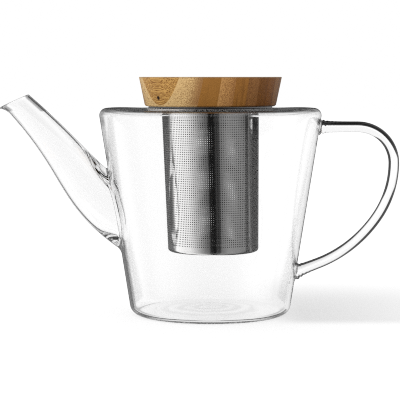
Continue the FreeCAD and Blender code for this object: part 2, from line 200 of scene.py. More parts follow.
def rounded_outline(corners: list[Triple], step: float, closed: bool = False) -> np.ndarray:
    """Run through corners in straight lines, with an arc at each corner that has a radius.

    The arc touches both lines, so it starts at radius / tan(half the inner angle) from the corner.

    Args:
        corners: (radius from the axis, height, corner radius) of each corner.
        step: longest distance between points on the straight lines.
        closed: whether the last corner joins the first.
    Returns:
        Points of shape (count, 2).
    """
    table = np.array(corners, float)
    places, bends = table[:, :2], table[:, 2]
    count = len(places)
    stretches = []
    for index in range(count):
        here = places[index]
        is_end = not closed and index in (0, count - 1)
        if is_end or bends[index] <= 0:
            stretches.append(here[None])
            continue
        back, ahead = (places[(index + way) % count] - here for way in (-1, 1))
        back, ahead = back / np.linalg.norm(back), ahead / np.linalg.norm(ahead)
        half = math.acos(float(np.clip(back @ ahead, -1, 1))) / 2
        middle = (back + ahead) / np.linalg.norm(back + ahead)
        centre = here + middle * bends[index] / math.sin(half)
        first = here + back * bends[index] / math.tan(half) - centre
        last = here + ahead * bends[index] / math.tan(half) - centre
        turn = math.pi - 2 * half
        pieces = max(ARC_PIECES, math.ceil(turn / ARC_STEP))
        share = np.linspace(0, 1, pieces + 1)[:, None]
        arc = (np.sin((1 - share) * turn) * first + np.sin(share * turn) * last) / math.sin(turn)
        stretches.append(centre + arc)
    return joined_stretches(stretches, step, closed)


def joined_stretches(stretches: list[np.ndarray], step: float, closed: bool) -> np.ndarray:
    """Join stretches of points with straight runs.

    Args:
        stretches: points of shape (count, 2) each.
        step: longest distance between points on the straight runs.
        closed: whether the last stretch joins the first.
    Returns:
        Points of shape (count, 2).
    """
    outline = []
    for index, stretch in enumerate(stretches):
        outline.append(stretch)
        if index == len(stretches) - 1 and not closed:
            break
        start, end = stretch[-1], stretches[(index + 1) % len(stretches)][0]
        pieces = math.ceil(float(np.linalg.norm(end - start)) / step)
        if pieces > 1:
            outline.append(start + (end - start) * np.linspace(0, 1, pieces + 1)[1:-1, None])
    return np.concatenate(outline)


def turned_points(outline: np.ndarray, columns: int) -> np.ndarray:
    """Turn an outline about Z: x = r cos, y = r sin, z = height.

    Args:
        outline: points of (radius, height).
        columns: points round the axis.
    Returns:
        Points of shape (outline points, columns, 3).
    """
    angle = np.arange(columns) * 2 * np.pi / columns
    ring = np.stack([np.cos(angle), np.sin(angle)], axis=-1)
    flat = outline[:, None, :1] * ring[None]
    return np.concatenate([flat, np.broadcast_to(outline[:, None, 1:], flat.shape[:2] + (1,))], axis=-1)


def turned_ring(outline: np.ndarray, columns: int, beyond: float = math.inf) -> MeshBuilder:
    """A closed outline turned into a ring-shaped solid.

    Args:
        outline: points of (radius, height).
        columns: points round the ring.
        beyond: radius outside which faces take the second finish.
    Returns:
        The builder that holds the ring.
    """
    builder = MeshBuilder()
    index = builder.add(turned_points(outline, columns))
    is_far = np.minimum(outline[:, 0], np.roll(outline[:, 0], -1)) > beyond
    for slot, rows in enumerate((~is_far, is_far)):
        keep = np.broadcast_to(rows[:, None], index.shape)
        builder.join(np.concatenate([index, index[:1]]), keep=keep, slot=slot)
    return builder


def grey(level: float) -> Paint:
    """A neutral colour of one level."""
    return (level, level, level, 1.0)


class NodeTree:
    """Short ways to add and wire shader nodes. A source is a socket, or the value of the input itself."""

    def __init__(self, tree: bpy.types.NodeTree) -> None:
        """Work on one tree, emptied first."""
        self.tree = tree
        tree.nodes.clear()

    def node(self, kind: str, **settings: object) -> bpy.types.Node:
        """Add a node and set its own properties.

        Args:
            kind: the shader node's type, without its prefix.
            settings: the properties to set.
        Returns:
            The new node.
        """
        item = self.tree.nodes.new(f"ShaderNode{kind}")
        for name, setting in settings.items():
            setattr(item, name, setting)
        return item

    def wire(self, source: object, target: bpy.types.NodeSocket) -> None:
        """Link a socket to an input, or set the input's own value.

        Args:
            source: the socket or value.
            target: the input.
        """
        if isinstance(source, bpy.types.NodeSocket):
            self.tree.links.new(source, target)
        else:
            target.default_value = source

    def parts(self, source: bpy.types.NodeSocket) -> bpy.types.Node:
        """Split a place or direction into X, Y and Z.

        Args:
            source: the place or direction.
        Returns:
            The node whose outputs are the three parts.
        """
        item = self.node("SeparateXYZ")
        self.wire(source, item.inputs[0])
        return item

    def from_axis(self, place: bpy.types.Node) -> bpy.types.NodeSocket:
        """The distance from the pot's axis, the root of x * x + y * y."""
        squares = [self.math("MULTIPLY", place.outputs[axis], place.outputs[axis]) for axis in (0, 1)]
        return self.math("SQRT", self.math("ADD", *squares))

    def math(self, operation: str, *inputs: object) -> bpy.types.NodeSocket:
        """Work out one sum.

        Args:
            operation: the Math node's operation.
            inputs: its sources, in order.
        Returns:
            The result.
        """
        item = self.node("Math", operation=operation)
        for source, target in zip(inputs, item.inputs):
            self.wire(source, target)
        return item.outputs[0]

    def product(self, *inputs: object) -> bpy.types.NodeSocket:
        """Multiply sources one after another.

        Args:
            inputs: the sources, of which there are at least two.
        Returns:
            The product.
        """
        result = inputs[0]
        for source in inputs[1:]:
            result = self.math("MULTIPLY", result, source)
        return result

    def total(self, *inputs: object) -> bpy.types.NodeSocket:
        """Add up sources one after another.

        Args:
            inputs: the sources, of which there are at least two.
        Returns:
            The sum.
        """
        result = inputs[0]
        for source in inputs[1:]:
            result = self.math("ADD", result, source)
        return result

    def mix(self, factor: object, first: object, second: object, blend: str = "MIX") -> bpy.types.NodeSocket:
        """Mix two colours.

        Args:
            factor: the second colour's share.
            first: the colour at factor 0.
            second: the colour at factor 1, or what the first is blended with.
            blend: the Mix node's way of blending.
        Returns:
            The mixed colour.
        """
        item = self.node("Mix", data_type="RGBA", blend_type=blend)
        for source, socket in ((factor, 0), (first, 6), (second, 7)):
            self.wire(source, item.inputs[socket])
        return item.outputs[2]

    def ramp(self, factor: object, stops: list[tuple[float, Colour]]) -> bpy.types.NodeSocket:
        """Run a value through a row of colours.

        Args:
            factor: the value, from 0 to 1.
            stops: (place, colour) in order.
        Returns:
            The colour at the value.
        """
        item = self.node("ValToRGB")
        while len(item.color_ramp.elements) < len(stops):
            item.color_ramp.elements.new(1.0)
        for element, (place, colour) in zip(item.color_ramp.elements, stops):
            element.position = place
            element.color = (*colour, 1.0)
        self.wire(factor, item.inputs[0])
        return item.outputs[0]

    def mapped(self, source: object, low: float, high: float, start: float, end: float) -> bpy.types.NodeSocket:
        """A value's smooth change from one level to another, along share * share * (3 - 2 * share).

        Args:
            source: the value.
            low: the bound at which the result is the start level.
            high: the bound at which it is the end level; it may be the lower bound of the two.
            start: the first level.
            end: the second level.
        Returns:
            The changed value.
        """
        item = self.node("MapRange", interpolation_type="SMOOTHSTEP")
        if high < low:
            low, high, start, end = high, low, end, start
        names = ("Value", "From Min", "From Max", "To Min", "To Max")
        for name, given in zip(names, (source, low, high, start, end)):
            self.wire(given, item.inputs[name])
        return item.outputs[0]

    def between(self, source: object, start: float, end: float) -> bpy.types.NodeSocket:
        """A value's smooth rise from 0 at the start bound to 1 at the end one."""
        return self.mapped(source, start, end, 0.0, 1.0)

    def noise(self, place: object, scale: float = 1.0, detail: float = 2.0) -> bpy.types.Node:
        """Add a noise texture.

        Args:
            place: where it is read.
            scale: its cells for each unit of the place.
            detail: its finer layers.
        Returns:
            The texture's node.
        """
        item = self.node("TexNoise")
        self.wire(place, item.inputs["Vector"])
        item.inputs["Scale"].default_value = scale
        item.inputs["Detail"].default_value = detail
        return item

    def object_place(self, turn: float = 0.0, stretch: Triple = (1.0, 1.0, 1.0)) -> bpy.types.NodeSocket:
        """Object coordinates in metres, turned about Z and then stretched.

        Args:
            turn: the turn in degrees.
            stretch: what X, Y and Z are multiplied with.
        Returns:
            The place.
        """
        turned, scaled = (self.node("Mapping", vector_type="POINT") for _ in range(2))
        turned.inputs["Rotation"].default_value = (0, 0, math.radians(turn))
        scaled.inputs["Scale"].default_value = stretch
        self.wire(self.node("TexCoord").outputs["Object"], turned.inputs["Vector"])
        self.wire(turned.outputs[0], scaled.inputs["Vector"])
        return scaled.outputs[0]


@dataclass(frozen=True)
class Finish:
    """A named surface finish."""

    name: str

    def material(self) -> bpy.types.Material:
        """The finish's material, made the first time it is asked for.

        Returns:
            The material, which all pieces of this finish share.
        """
        found = bpy.data.materials.get(self.name)
        if found is not None and found.get("is_teapot_finish"):
            return found
        made = bpy.data.materials.new(self.name)
        made.use_nodes = True
        made["is_teapot_finish"] = True
        tree = NodeTree(made.node_tree)
        output = tree.node("OutputMaterial")
        shader = tree.node("BsdfPrincipled")
        tree.wire(shader.outputs[0], output.inputs["Surface"])
        self.dress(tree, shader, output)
        return made

    def dress(self, tree: NodeTree, shader: bpy.types.Node, output: bpy.types.Node) -> None:
        """Set the shader's sockets and wire its textures."""
        raise NotImplementedError


@dataclass(frozen=True)
class GlassFinish(Finish):
    """Clear borosilicate glass, with painted shade in its colour where it is seen edge on."""

    refraction: float = 1.47

    # Painted shade on the handle's rod: the grey its edges are darkened to, and the masks and shifts that place it.
    edge: float = 0.002
    edge_start: float = 0.13
    edge_run: float = 0.13
    rod_gap: Range = (0.0, 0.001)
    wall_foot: float = 0.049
    wall_slope: float = 0.158
    run_level: Range = (0.105, 0.113)
    top_level: Range = (0.096, 0.112)
    back_level: Range = (0.070, 0.080)
    tail_level: Range = (0.056, 0.034)
    top_shift: Range = (1.2, 20.0)
    back_shift: float = 0.5
    low_shift: Range = (0.4, 1.0)
    low_way: Range = (0.8, 0.6)
    tail_shift: float = 0.6
    least_across: float = 0.04

    # Painted shade in the glass's colour where it is seen edge on: grey rings in the base, and grey on the shoulder.
    rings: float = 640.0
    painted_ring_shade: float = 0.7
    ring_waver: float = 5.0
    ring_stretch: Triple = (60.0, 60.0, 60.0)
    base_level: Range = (0.009, 0.006)
    base_radius: Range = (0.037, 0.029)
    base_facing: Range = (0.6, 0.85)

    painted_shoulder_shade: float = 0.2
    corner_reach: Range = (-0.058, -0.062)
    corner_level: Range = (0.114, 0.119)
    corner_facing: Range = (0.7, 0.84)
    shoulder_level: Range = (0.1256, 0.1259)
    flat_radius: Range = (0.0405, 0.0415)
    flat_facing: Range = (0.8, 0.92)
    rim_radius: Range = (0.0645, 0.0655)
    rim_facing: Range = (0.3, 0.5)

    # Painted shade on the lower left wall and the foot's bend, where they are seen edge on.
    painted_foot_shade: float = 0.03
    foot_radius: Range = (0.0425, 0.0445)
    left_reach: Range = (-0.025, -0.04)
    left_level: Range = (0.058, 0.045)
    left_facing: Range = (0.72, 0.8)
    bend_reach: Range = (0.024, 0.04)
    bend_side: Range = (0.005, -0.005)
    bend_level: Range = (0.0045, 0.0028)
    bend_facing: Range = (0.4, 0.6)

    # The land is ground glass, dull and partly diffuse, and more so on the left than the right: a painted highlight.
    seat_radius: Range = (0.0412, 0.0409)
    seat_level: Range = (0.12705, 0.12715)
    seat_reach: Range = (-0.022, -0.008)
    seat_ground_and_highlight: Range = (0.6, 0.15)

    def dress(self, tree: NodeTree, shader: bpy.types.Node, output: bpy.types.Node) -> None:
        """Full transmission, a smooth surface, painted shade in its colour, and a land ground dull and painted light.

        Args:
            tree: the material's nodes.
            shader: its Principled shader.
            output: its output node; not used.
        """
        shader.inputs["Roughness"].default_value = 0.0
        shader.inputs["IOR"].default_value = self.refraction
        shader.inputs["Transmission Weight"].default_value = 1.0
        place = tree.parts(tree.node("TexCoord").outputs["Object"])
        # Painted shade: the rod's edges darkened in the glass's colour.
        colour = tree.mix(self.rod_painted_shade(tree, place), WHITE, grey(self.edge))
        # Painted shade: grey rings in the base and grey on the shoulder and the foot, in the glass's colour.
        tree.wire(self.painted_glass_shade(tree, place, colour), shader.inputs["Base Color"])
        # Ground land, partly a painted highlight: transmission gives way to diffuse white, more on the left.
        seat = tree.product(tree.between(tree.from_axis(place), *self.seat_radius),
                            tree.between(place.outputs[2], *self.seat_level))
        ground = tree.product(seat, tree.mapped(place.outputs[0], *self.seat_reach, *self.seat_ground_and_highlight))
        tree.wire(tree.math("SUBTRACT", 1.0, ground), shader.inputs["Transmission Weight"])

    def rod_painted_shade(self, tree: NodeTree, place: bpy.types.Node) -> bpy.types.NodeSocket:
        """How much painted shade the handle's rod takes, 0 along its middle and 1 at its edges.

        The tint rises with the turn round the rod times a factor. The factor is 1 plus a shift for each stretch of the
        rod, by the way the surface points there: up on the top run, aside on the back, and outwards lower down.

        Args:
            tree: the material's nodes.
            place: the parts of the place.
        Returns:
            The painted shade's share.
        """
        normal = tree.parts(tree.node("TexCoord").outputs["Normal"])
        outside = tree.math("MULTIPLY_ADD", tree.node("NewGeometry").outputs["Backfacing"], -2.0, 1.0)
        wall = tree.math("MULTIPLY_ADD", place.outputs[2], self.wall_slope, self.wall_foot)
        is_rod = tree.between(tree.math("SUBTRACT", place.outputs[0], wall), *self.rod_gap)
        aside, up = (tree.math("MULTIPLY", outside, normal.outputs[axis]) for axis in (0, 2))
        levels = (self.run_level, self.top_level, self.back_level, self.tail_level)
        is_run, is_top, is_high, is_tail = (tree.between(place.outputs[2], *level) for level in levels)
        is_back = tree.math("SUBTRACT", is_high, is_top)
        is_low = tree.math("SUBTRACT", tree.math("SUBTRACT", 1.0, is_high), is_tail)
        outward = tree.math("SUBTRACT", tree.math("MULTIPLY", aside, self.low_way[0]),
                            tree.math("MULTIPLY", up, self.low_way[1]))
        below, above = (tree.math(limit, up, 0.0) for limit in ("MINIMUM", "MAXIMUM"))
        inner, outer = (tree.math(limit, outward, 0.0) for limit in ("MINIMUM", "MAXIMUM"))
        shifts = (tree.product(is_run, below, self.top_shift[0]), tree.product(is_top, above, self.top_shift[1]),
                  tree.product(is_back, aside, -self.back_shift),
                  tree.product(is_low, outer, self.low_shift[1]), tree.product(is_low, inner, self.low_shift[0]),
                  tree.product(is_tail, below, self.tail_shift))
        turned = tree.math("MULTIPLY", self.turned_across(tree, aside, up), tree.total(1.0, *shifts))
        dark = tree.between(turned, self.edge_start, self.edge_start + self.edge_run)
        return tree.math("MULTIPLY", dark, is_rod)

    def turned_across(self, tree: NodeTree, aside: object, up: object) -> bpy.types.NodeSocket:
        """How far the surface is turned away round the rod, however the rod is foreshortened.

        The rod lies in the XZ plane, so its run is the normal's X and Z turned by a quarter. The cosine of the turn is
        the normal's share of the view divided by the share of the view that lies across the rod.

        Args:
            tree: the material's nodes.
            aside: the outer normal's X.
            up: the outer normal's Z.
        Returns:
            The turn, 0 along the rod's middle and 1 at its edges.
        """
        along = tree.node("CombineXYZ")
        tree.wire(tree.math("MULTIPLY", up, -1.0), along.inputs[0])
        tree.wire(aside, along.inputs[2])
        unit = tree.node("VectorMath", operation="NORMALIZE")
        tree.wire(along.outputs[0], unit.inputs[0])
        lengthwise = tree.node("LayerWeight")
        tree.wire(unit.outputs[0], lengthwise.inputs["Normal"])
        end_on = tree.math("SUBTRACT", 1.0, lengthwise.outputs["Facing"])
        square = tree.math("MULTIPLY_ADD", end_on, tree.math("MULTIPLY", end_on, -1.0), 1.0)
        across = tree.math("SQRT", tree.math("MAXIMUM", square, self.least_across))
        facing = tree.math("SUBTRACT", 1.0, tree.node("LayerWeight").outputs["Facing"])
        cosine = tree.math("DIVIDE", facing, across)
        return tree.math("MAXIMUM", tree.math("SUBTRACT", 1.0, cosine), 0.0)

    def painted_glass_shade(self, tree: NodeTree, place: bpy.types.Node, colour: bpy.types.NodeSocket) -> bpy.types.NodeSocket:
        """Painted shade in the glass where it is seen edge on: base rings, the shoulder, its corner and rim, the foot.

        Args:
            tree: the material's nodes.
            place: the parts of the place.
            colour: the glass's colour so far.
        Returns:
            The colour with painted shade.
        """
        x, y, z = place.outputs
        radius = tree.from_axis(place)
        facing = tree.node("LayerWeight").outputs["Facing"]
        uneven = tree.noise(tree.object_place(stretch=self.ring_stretch))
        waver = tree.math("MULTIPLY", uneven.outputs[0], self.ring_waver)
        phase = tree.math("MULTIPLY_ADD", radius, self.rings, waver)
        ring = tree.math("MULTIPLY_ADD", tree.math("SINE", phase), 0.5, 0.5)
        is_base = tree.product(tree.between(z, *self.base_level), tree.between(radius, *self.base_radius))
        shallow = tree.between(facing, *self.base_facing)
        colour = tree.mix(tree.product(is_base, ring, shallow), colour, grey(self.painted_ring_shade), "MULTIPLY")
        corner = tree.product(tree.between(x, *self.corner_reach), tree.between(z, *self.corner_level),
                              tree.between(facing, *self.corner_facing))
        colour = tree.mix(corner, colour, grey(self.painted_shoulder_shade), "MULTIPLY")
        is_high = tree.between(z, *self.shoulder_level)
        flat, rim = (tree.product(is_high, tree.between(radius, *reach), tree.between(facing, *turn)) for reach, turn in
                     ((self.flat_radius, self.flat_facing), (self.rim_radius, self.rim_facing)))
        colour = tree.mix(tree.math("MAXIMUM", flat, rim), colour, grey(self.painted_shoulder_shade), "MULTIPLY")
        left = tree.product(tree.between(x, *self.left_reach), tree.between(z, *self.left_level),
                            tree.between(facing, *self.left_facing))
        bend = tree.product(tree.between(tree.math("ABSOLUTE", x), *self.bend_reach), tree.between(y, *self.bend_side),
                            tree.between(z, *self.bend_level), tree.between(facing, *self.bend_facing))
        foot = tree.math("MULTIPLY", tree.between(radius, *self.foot_radius), tree.math("MAXIMUM", left, bend))
        return tree.mix(foot, colour, grey(self.painted_foot_shade), "MULTIPLY")


@dataclass(frozen=True)
class SteelFinish(Finish):
    """Polished stainless sheet with faint drawing lines."""

    colour: Colour = (0.93, 0.925, 0.92)
    roughness: float = 0.16
    spread: Range = (0.75, 1.3)
    line_stretch: Triple = (60.0, 60.0, 900.0)
    line_detail: float = 3.0

    def dress(self, tree: NodeTree, shader: bpy.types.Node, output: bpy.types.Node) -> None:
        """A metal whose roughness varies along fine lines round the tube.

        Args:
            tree: the material's nodes.
            shader: its Principled shader.
            output: its output node; not used.
        """
        shader.inputs["Base Color"].default_value = (*self.colour, 1.0)
        shader.inputs["Metallic"].default_value = 1.0
        lines = tree.noise(tree.object_place(stretch=self.line_stretch), detail=self.line_detail)
        spread = tree.node("MapRange")
        for name, share in zip(("To Min", "To Max"), self.spread):
            spread.inputs[name].default_value = self.roughness * share
        tree.wire(lines.outputs[0], spread.inputs["Value"])
        tree.wire(spread.outputs[0], shader.inputs["Roughness"])


@dataclass(frozen=True)
class SiliconeFinish(Finish):
    """Milky translucent silicone."""

    dull: Colour = (0.80, 0.80, 0.77)
    pale: Colour = (0.88, 0.88, 0.86)
    cloud_scale: float = 300.0
    cloud_detail: float = 3.0
    roughness: float = 0.42
    passing: float = 0.3
    depth: Triple = (0.002, 0.002, 0.002)

    def dress(self, tree: NodeTree, shader: bpy.types.Node, output: bpy.types.Node) -> None:
        """A soft pale plastic with a little light passing through.

        Args:
            tree: the material's nodes.
            shader: its Principled shader.
            output: its output node; not used.
        """
        cloud = tree.noise(tree.object_place(), self.cloud_scale, self.cloud_detail)
        colour = tree.mix(cloud.outputs[0], (*self.dull, 1.0), (*self.pale, 1.0))
        tree.wire(colour, shader.inputs["Base Color"])
        shader.inputs["Roughness"].default_value = self.roughness
        shader.inputs["Subsurface Weight"].default_value = self.passing
        shader.inputs["Subsurface Radius"].default_value = self.depth


@dataclass(frozen=True)
class BambooFinish(Finish):
    """One oiled bamboo strip: fibre bundles run along it and show as dots where they are cut across."""

    tone: Colour = (0.45, 0.27, 0.11)
    dots: float = 0.5
    crowding: float = 0.0
    streaks: float = 0.5
    rind: float = 0.0
    number: int = 1

    bearing: float = 222.0
    thickness: float = 0.0081
    middle_strip: float = 7.0
    roughness: float = 0.5
    gloss: float = 0.15

    bundle: Range = (0.0015, 0.0016)
    bundle_shift: float = 3.7
    bundle_scatter: float = 0.7
    bundle_edge: Range = (0.58, 0.3)
    bundle_chance: Range = (-0.1, 0.25)
    bundle_gain: Colour = (0.42, 0.3, 0.22)
    waver: float = 0.0011
    waver_stretch: Triple = (130.0, 60.0, 130.0)
    cloud_stretch: Triple = (420.0, 16.0, 420.0)
    cloud_detail: float = 1.5
    cloud_gain: Range = (1.12, 0.92)
    streak_stretch: Triple = (800.0, 10.0, 30.0)
    streak_detail: float = 3.0
    streak_level: Range = (0.48, 0.75)
    streak_gain: Colour = (0.55, 0.5, 0.45)
    rind_depth: Range = (0.55, 0.0)
    rind_gain: Colour = (0.48, 0.32, 0.23)

    # Painted highlight: a lighter band along the foot's edge, strongest on the left and none on the right.
    foot_highlight_level: Range = (0.1308, 0.1292)
    foot_highlight_reach: Range = (-0.02, 0.01)
    foot_highlight_share: Range = (0.4, 0.0)
    foot_highlight_gain: float = 1.7
    # Painted shade: a dark grey line along the lid's top edge.
    top_level: Range = (0.1458, 0.1466)
    top_shade_share: float = 0.55
    top_shade_colour: Colour = (0.33, 0.25, 0.17)
    # Painted shade under the foot, on the underside and the foot's rounding, darker towards the right.
    under_level: Range = (0.1300, 0.1290)
    underside_shade_radius: Range = (0.030, 0.032)
    underside_shade_reach: Range = (-0.03, 0.01)
    underside_shade_share: Range = (0.45, 0.85)
    underside_shade_gain: float = 0.2
    knot: Triple = (-0.0310, -0.0267, 0.1343)
    knot_radius: Range = (0.0018, 0.0009)
    knot_colour: Colour = (0.025, 0.008, 0.004)

    def dress(self, tree: NodeTree, shader: bpy.types.Node, output: bpy.types.Node) -> None:
        """Bundles over a cloudy, streaked base, which is darker towards the strip's rind.

        Args:
            tree: the material's nodes.
            shader: its Principled shader.
            output: its output node; not used.
        """
        place = tree.object_place(turn=-self.bearing)
        across = tree.math("DIVIDE", tree.parts(place).outputs[0], self.thickness)
        depth = tree.math("SUBTRACT", across, self.number - self.middle_strip)
        dark = self.bundles(tree, place, depth)
        cloud, streak = (tree.noise(tree.object_place(turn=-self.bearing, stretch=stretch), detail=detail)
                         for stretch, detail in ((self.cloud_stretch, self.cloud_detail),
                                                 (self.streak_stretch, self.streak_detail)))
        base = tree.mix(cloud.outputs[0], *(self.toned(gain) for gain in self.cloud_gain))
        line = tree.math("MULTIPLY", tree.between(streak.outputs[0], *self.streak_level), self.streaks)
        base = tree.mix(line, base, self.toned(self.streak_gain))
        rind = tree.math("MULTIPLY", tree.between(depth, *self.rind_depth), self.rind)
        base = tree.mix(rind, base, self.toned(self.rind_gain))
        colour = tree.mix(dark, base, self.toned(self.bundle_gain))
        tree.wire(self.marks(tree, colour), shader.inputs["Base Color"])
        shader.inputs["Roughness"].default_value = self.roughness
        shader.inputs["Specular IOR Level"].default_value = self.gloss

    def toned(self, gain: float | Colour) -> Paint:
        """The strip's tone times a gain."""
        return (*np.array(self.tone) * gain, 1.0)

    def bundles(self, tree: NodeTree, place: bpy.types.NodeSocket, depth: bpy.types.NodeSocket) -> bpy.types.NodeSocket:
        """How dark the fibre bundles make a place.

        Bundles are cells of the strip's cross-section, drawn out along it and wavering a little. The share of cells
        that hold a bundle grows evenly with the depth, from face to face.

        Args:
            tree: the material's nodes.
            place: the place, with X across the strip and Y along it.
            depth: the depth in the strip, from 0 to 1.
        Returns:
            1 in the middle of a bundle and 0 between bundles.
        """
        waver = tree.noise(tree.object_place(turn=-self.bearing, stretch=self.waver_stretch))
        bent = tree.node("VectorMath", operation="MULTIPLY_ADD")
        tree.wire(waver.outputs["Color"], bent.inputs[0])
        bent.inputs[1].default_value = (self.waver, 0.0, self.waver)
        tree.wire(place, bent.inputs[2])
        wavy = tree.parts(bent.outputs[0])
        section = tree.node("CombineXYZ")
        shift = self.bundle_shift * self.number
        tree.wire(tree.math("MULTIPLY_ADD", wavy.outputs[0], 1 / self.bundle[0], shift), section.inputs[0])
        tree.wire(tree.math("DIVIDE", wavy.outputs[2], self.bundle[1]), section.inputs[1])
        cells = tree.node("TexVoronoi", feature="F1", voronoi_dimensions="2D")
        cells.inputs["Randomness"].default_value = self.bundle_scatter
        tree.wire(section.outputs[0], cells.inputs["Vector"])
        chance = tree.node("SeparateColor")
        tree.wire(cells.outputs["Color"], chance.inputs[0])
        share = tree.math("MULTIPLY_ADD", depth, self.crowding, self.dots - self.crowding / 2)
        is_cut = tree.between(tree.math("SUBTRACT", share, chance.outputs[0]), *self.bundle_chance)
        return tree.math("MULTIPLY", tree.between(cells.outputs["Distance"], *self.bundle_edge), is_cut)

    def marks(self, tree: NodeTree, colour: bpy.types.NodeSocket) -> bpy.types.NodeSocket:
        """Add a painted highlight on the foot's edge, painted shade on the top edge and underneath, and one small knot.

        Args:
            tree: the material's nodes.
            colour: the strip's colour so far.
        Returns:
            The marked colour.
        """
        spot = tree.node("TexCoord").outputs["Object"]
        place = tree.parts(spot)
        x, _, z = place.outputs
        # Painted highlight along the foot's edge, stronger on the left.
        foot_highlight = tree.math("MULTIPLY", tree.between(z, *self.foot_highlight_level),
                         tree.mapped(x, *self.foot_highlight_reach, *self.foot_highlight_share))
        colour = tree.mix(foot_highlight, colour, self.toned(self.foot_highlight_gain))
        # Painted shade along the top edge.
        top = tree.math("MULTIPLY", tree.between(z, *self.top_level), self.top_shade_share)
        colour = tree.mix(top, colour, (*self.top_shade_colour, 1.0))
        # Painted shade on the underside, darker towards the right.
        under = tree.product(tree.between(z, *self.under_level),
                             tree.between(tree.from_axis(place), *self.underside_shade_radius),
                             tree.mapped(x, *self.underside_shade_reach, *self.underside_shade_share))
        colour = tree.mix(under, colour, self.toned(self.underside_shade_gain))
        away = tree.node("VectorMath", operation="DISTANCE")
        tree.wire(spot, away.inputs[0])
        away.inputs[1].default_value = self.knot
        core = tree.between(away.outputs["Value"], *self.knot_radius)
        return tree.mix(core, colour, (*self.knot_colour, 1.0))


@dataclass(frozen=True)
class FloorFinish(Finish):
    """White to the eye and through glass, with the pot's shadow, a painted shadow by the handle, and clear to mirrors.
    """

    glow: float = 0.74
    shade: float = 0.34
    # Painted shadow: how much the glow is dimmed, and the reaches of the patch beside the handle.
    painted_shadow: float = 0.28
    near_reach: Range = (0.03, 0.06)
    far_reach: Range = (0.06, 0.2)
    far_share: Range = (1.0, 0.3)
    back_edge: Range = (0.18, 0.05)
    front_edge: Range = (-0.05, -0.025)

    def dress(self, tree: NodeTree, shader: bpy.types.Node, output: bpy.types.Node) -> None:
        """A glow with a painted shadow beside the handle, and a diffuse share added up, left out for mirrored light.

        Args:
            tree: the material's nodes.
            shader: its Principled shader, which the floor leaves unused.
            output: its output node.
        """
        x, y, _ = tree.parts(tree.node("TexCoord").outputs["Object"]).outputs
        # Painted shadow: a patch beside the handle where the glow is dimmed.
        shadow_patch = tree.product(tree.between(x, *self.near_reach), tree.mapped(x, *self.far_reach, *self.far_share),
                           tree.between(y, *self.back_edge), tree.between(y, *self.front_edge),
                           self.painted_shadow * self.glow)
        glow = tree.node("Emission")
        tree.wire(tree.math("SUBTRACT", self.glow, shadow_patch), glow.inputs["Strength"])
        diffuse = tree.node("BsdfDiffuse")
        diffuse.inputs["Color"].default_value = grey(self.shade)
        both = tree.node("AddShader")
        tree.wire(glow.outputs[0], both.inputs[0])
        tree.wire(diffuse.outputs[0], both.inputs[1])
        choice = tree.node("MixShader")
        mirrored = tree.math("GREATER_THAN", tree.node("LightPath").outputs["Glossy Depth"], 0.5)
        for source, target in zip((mirrored, both.outputs[0], tree.node("BsdfTransparent").outputs[0]), choice.inputs):
            tree.wire(source, target)
        tree.wire(choice.outputs[0], output.inputs["Surface"])


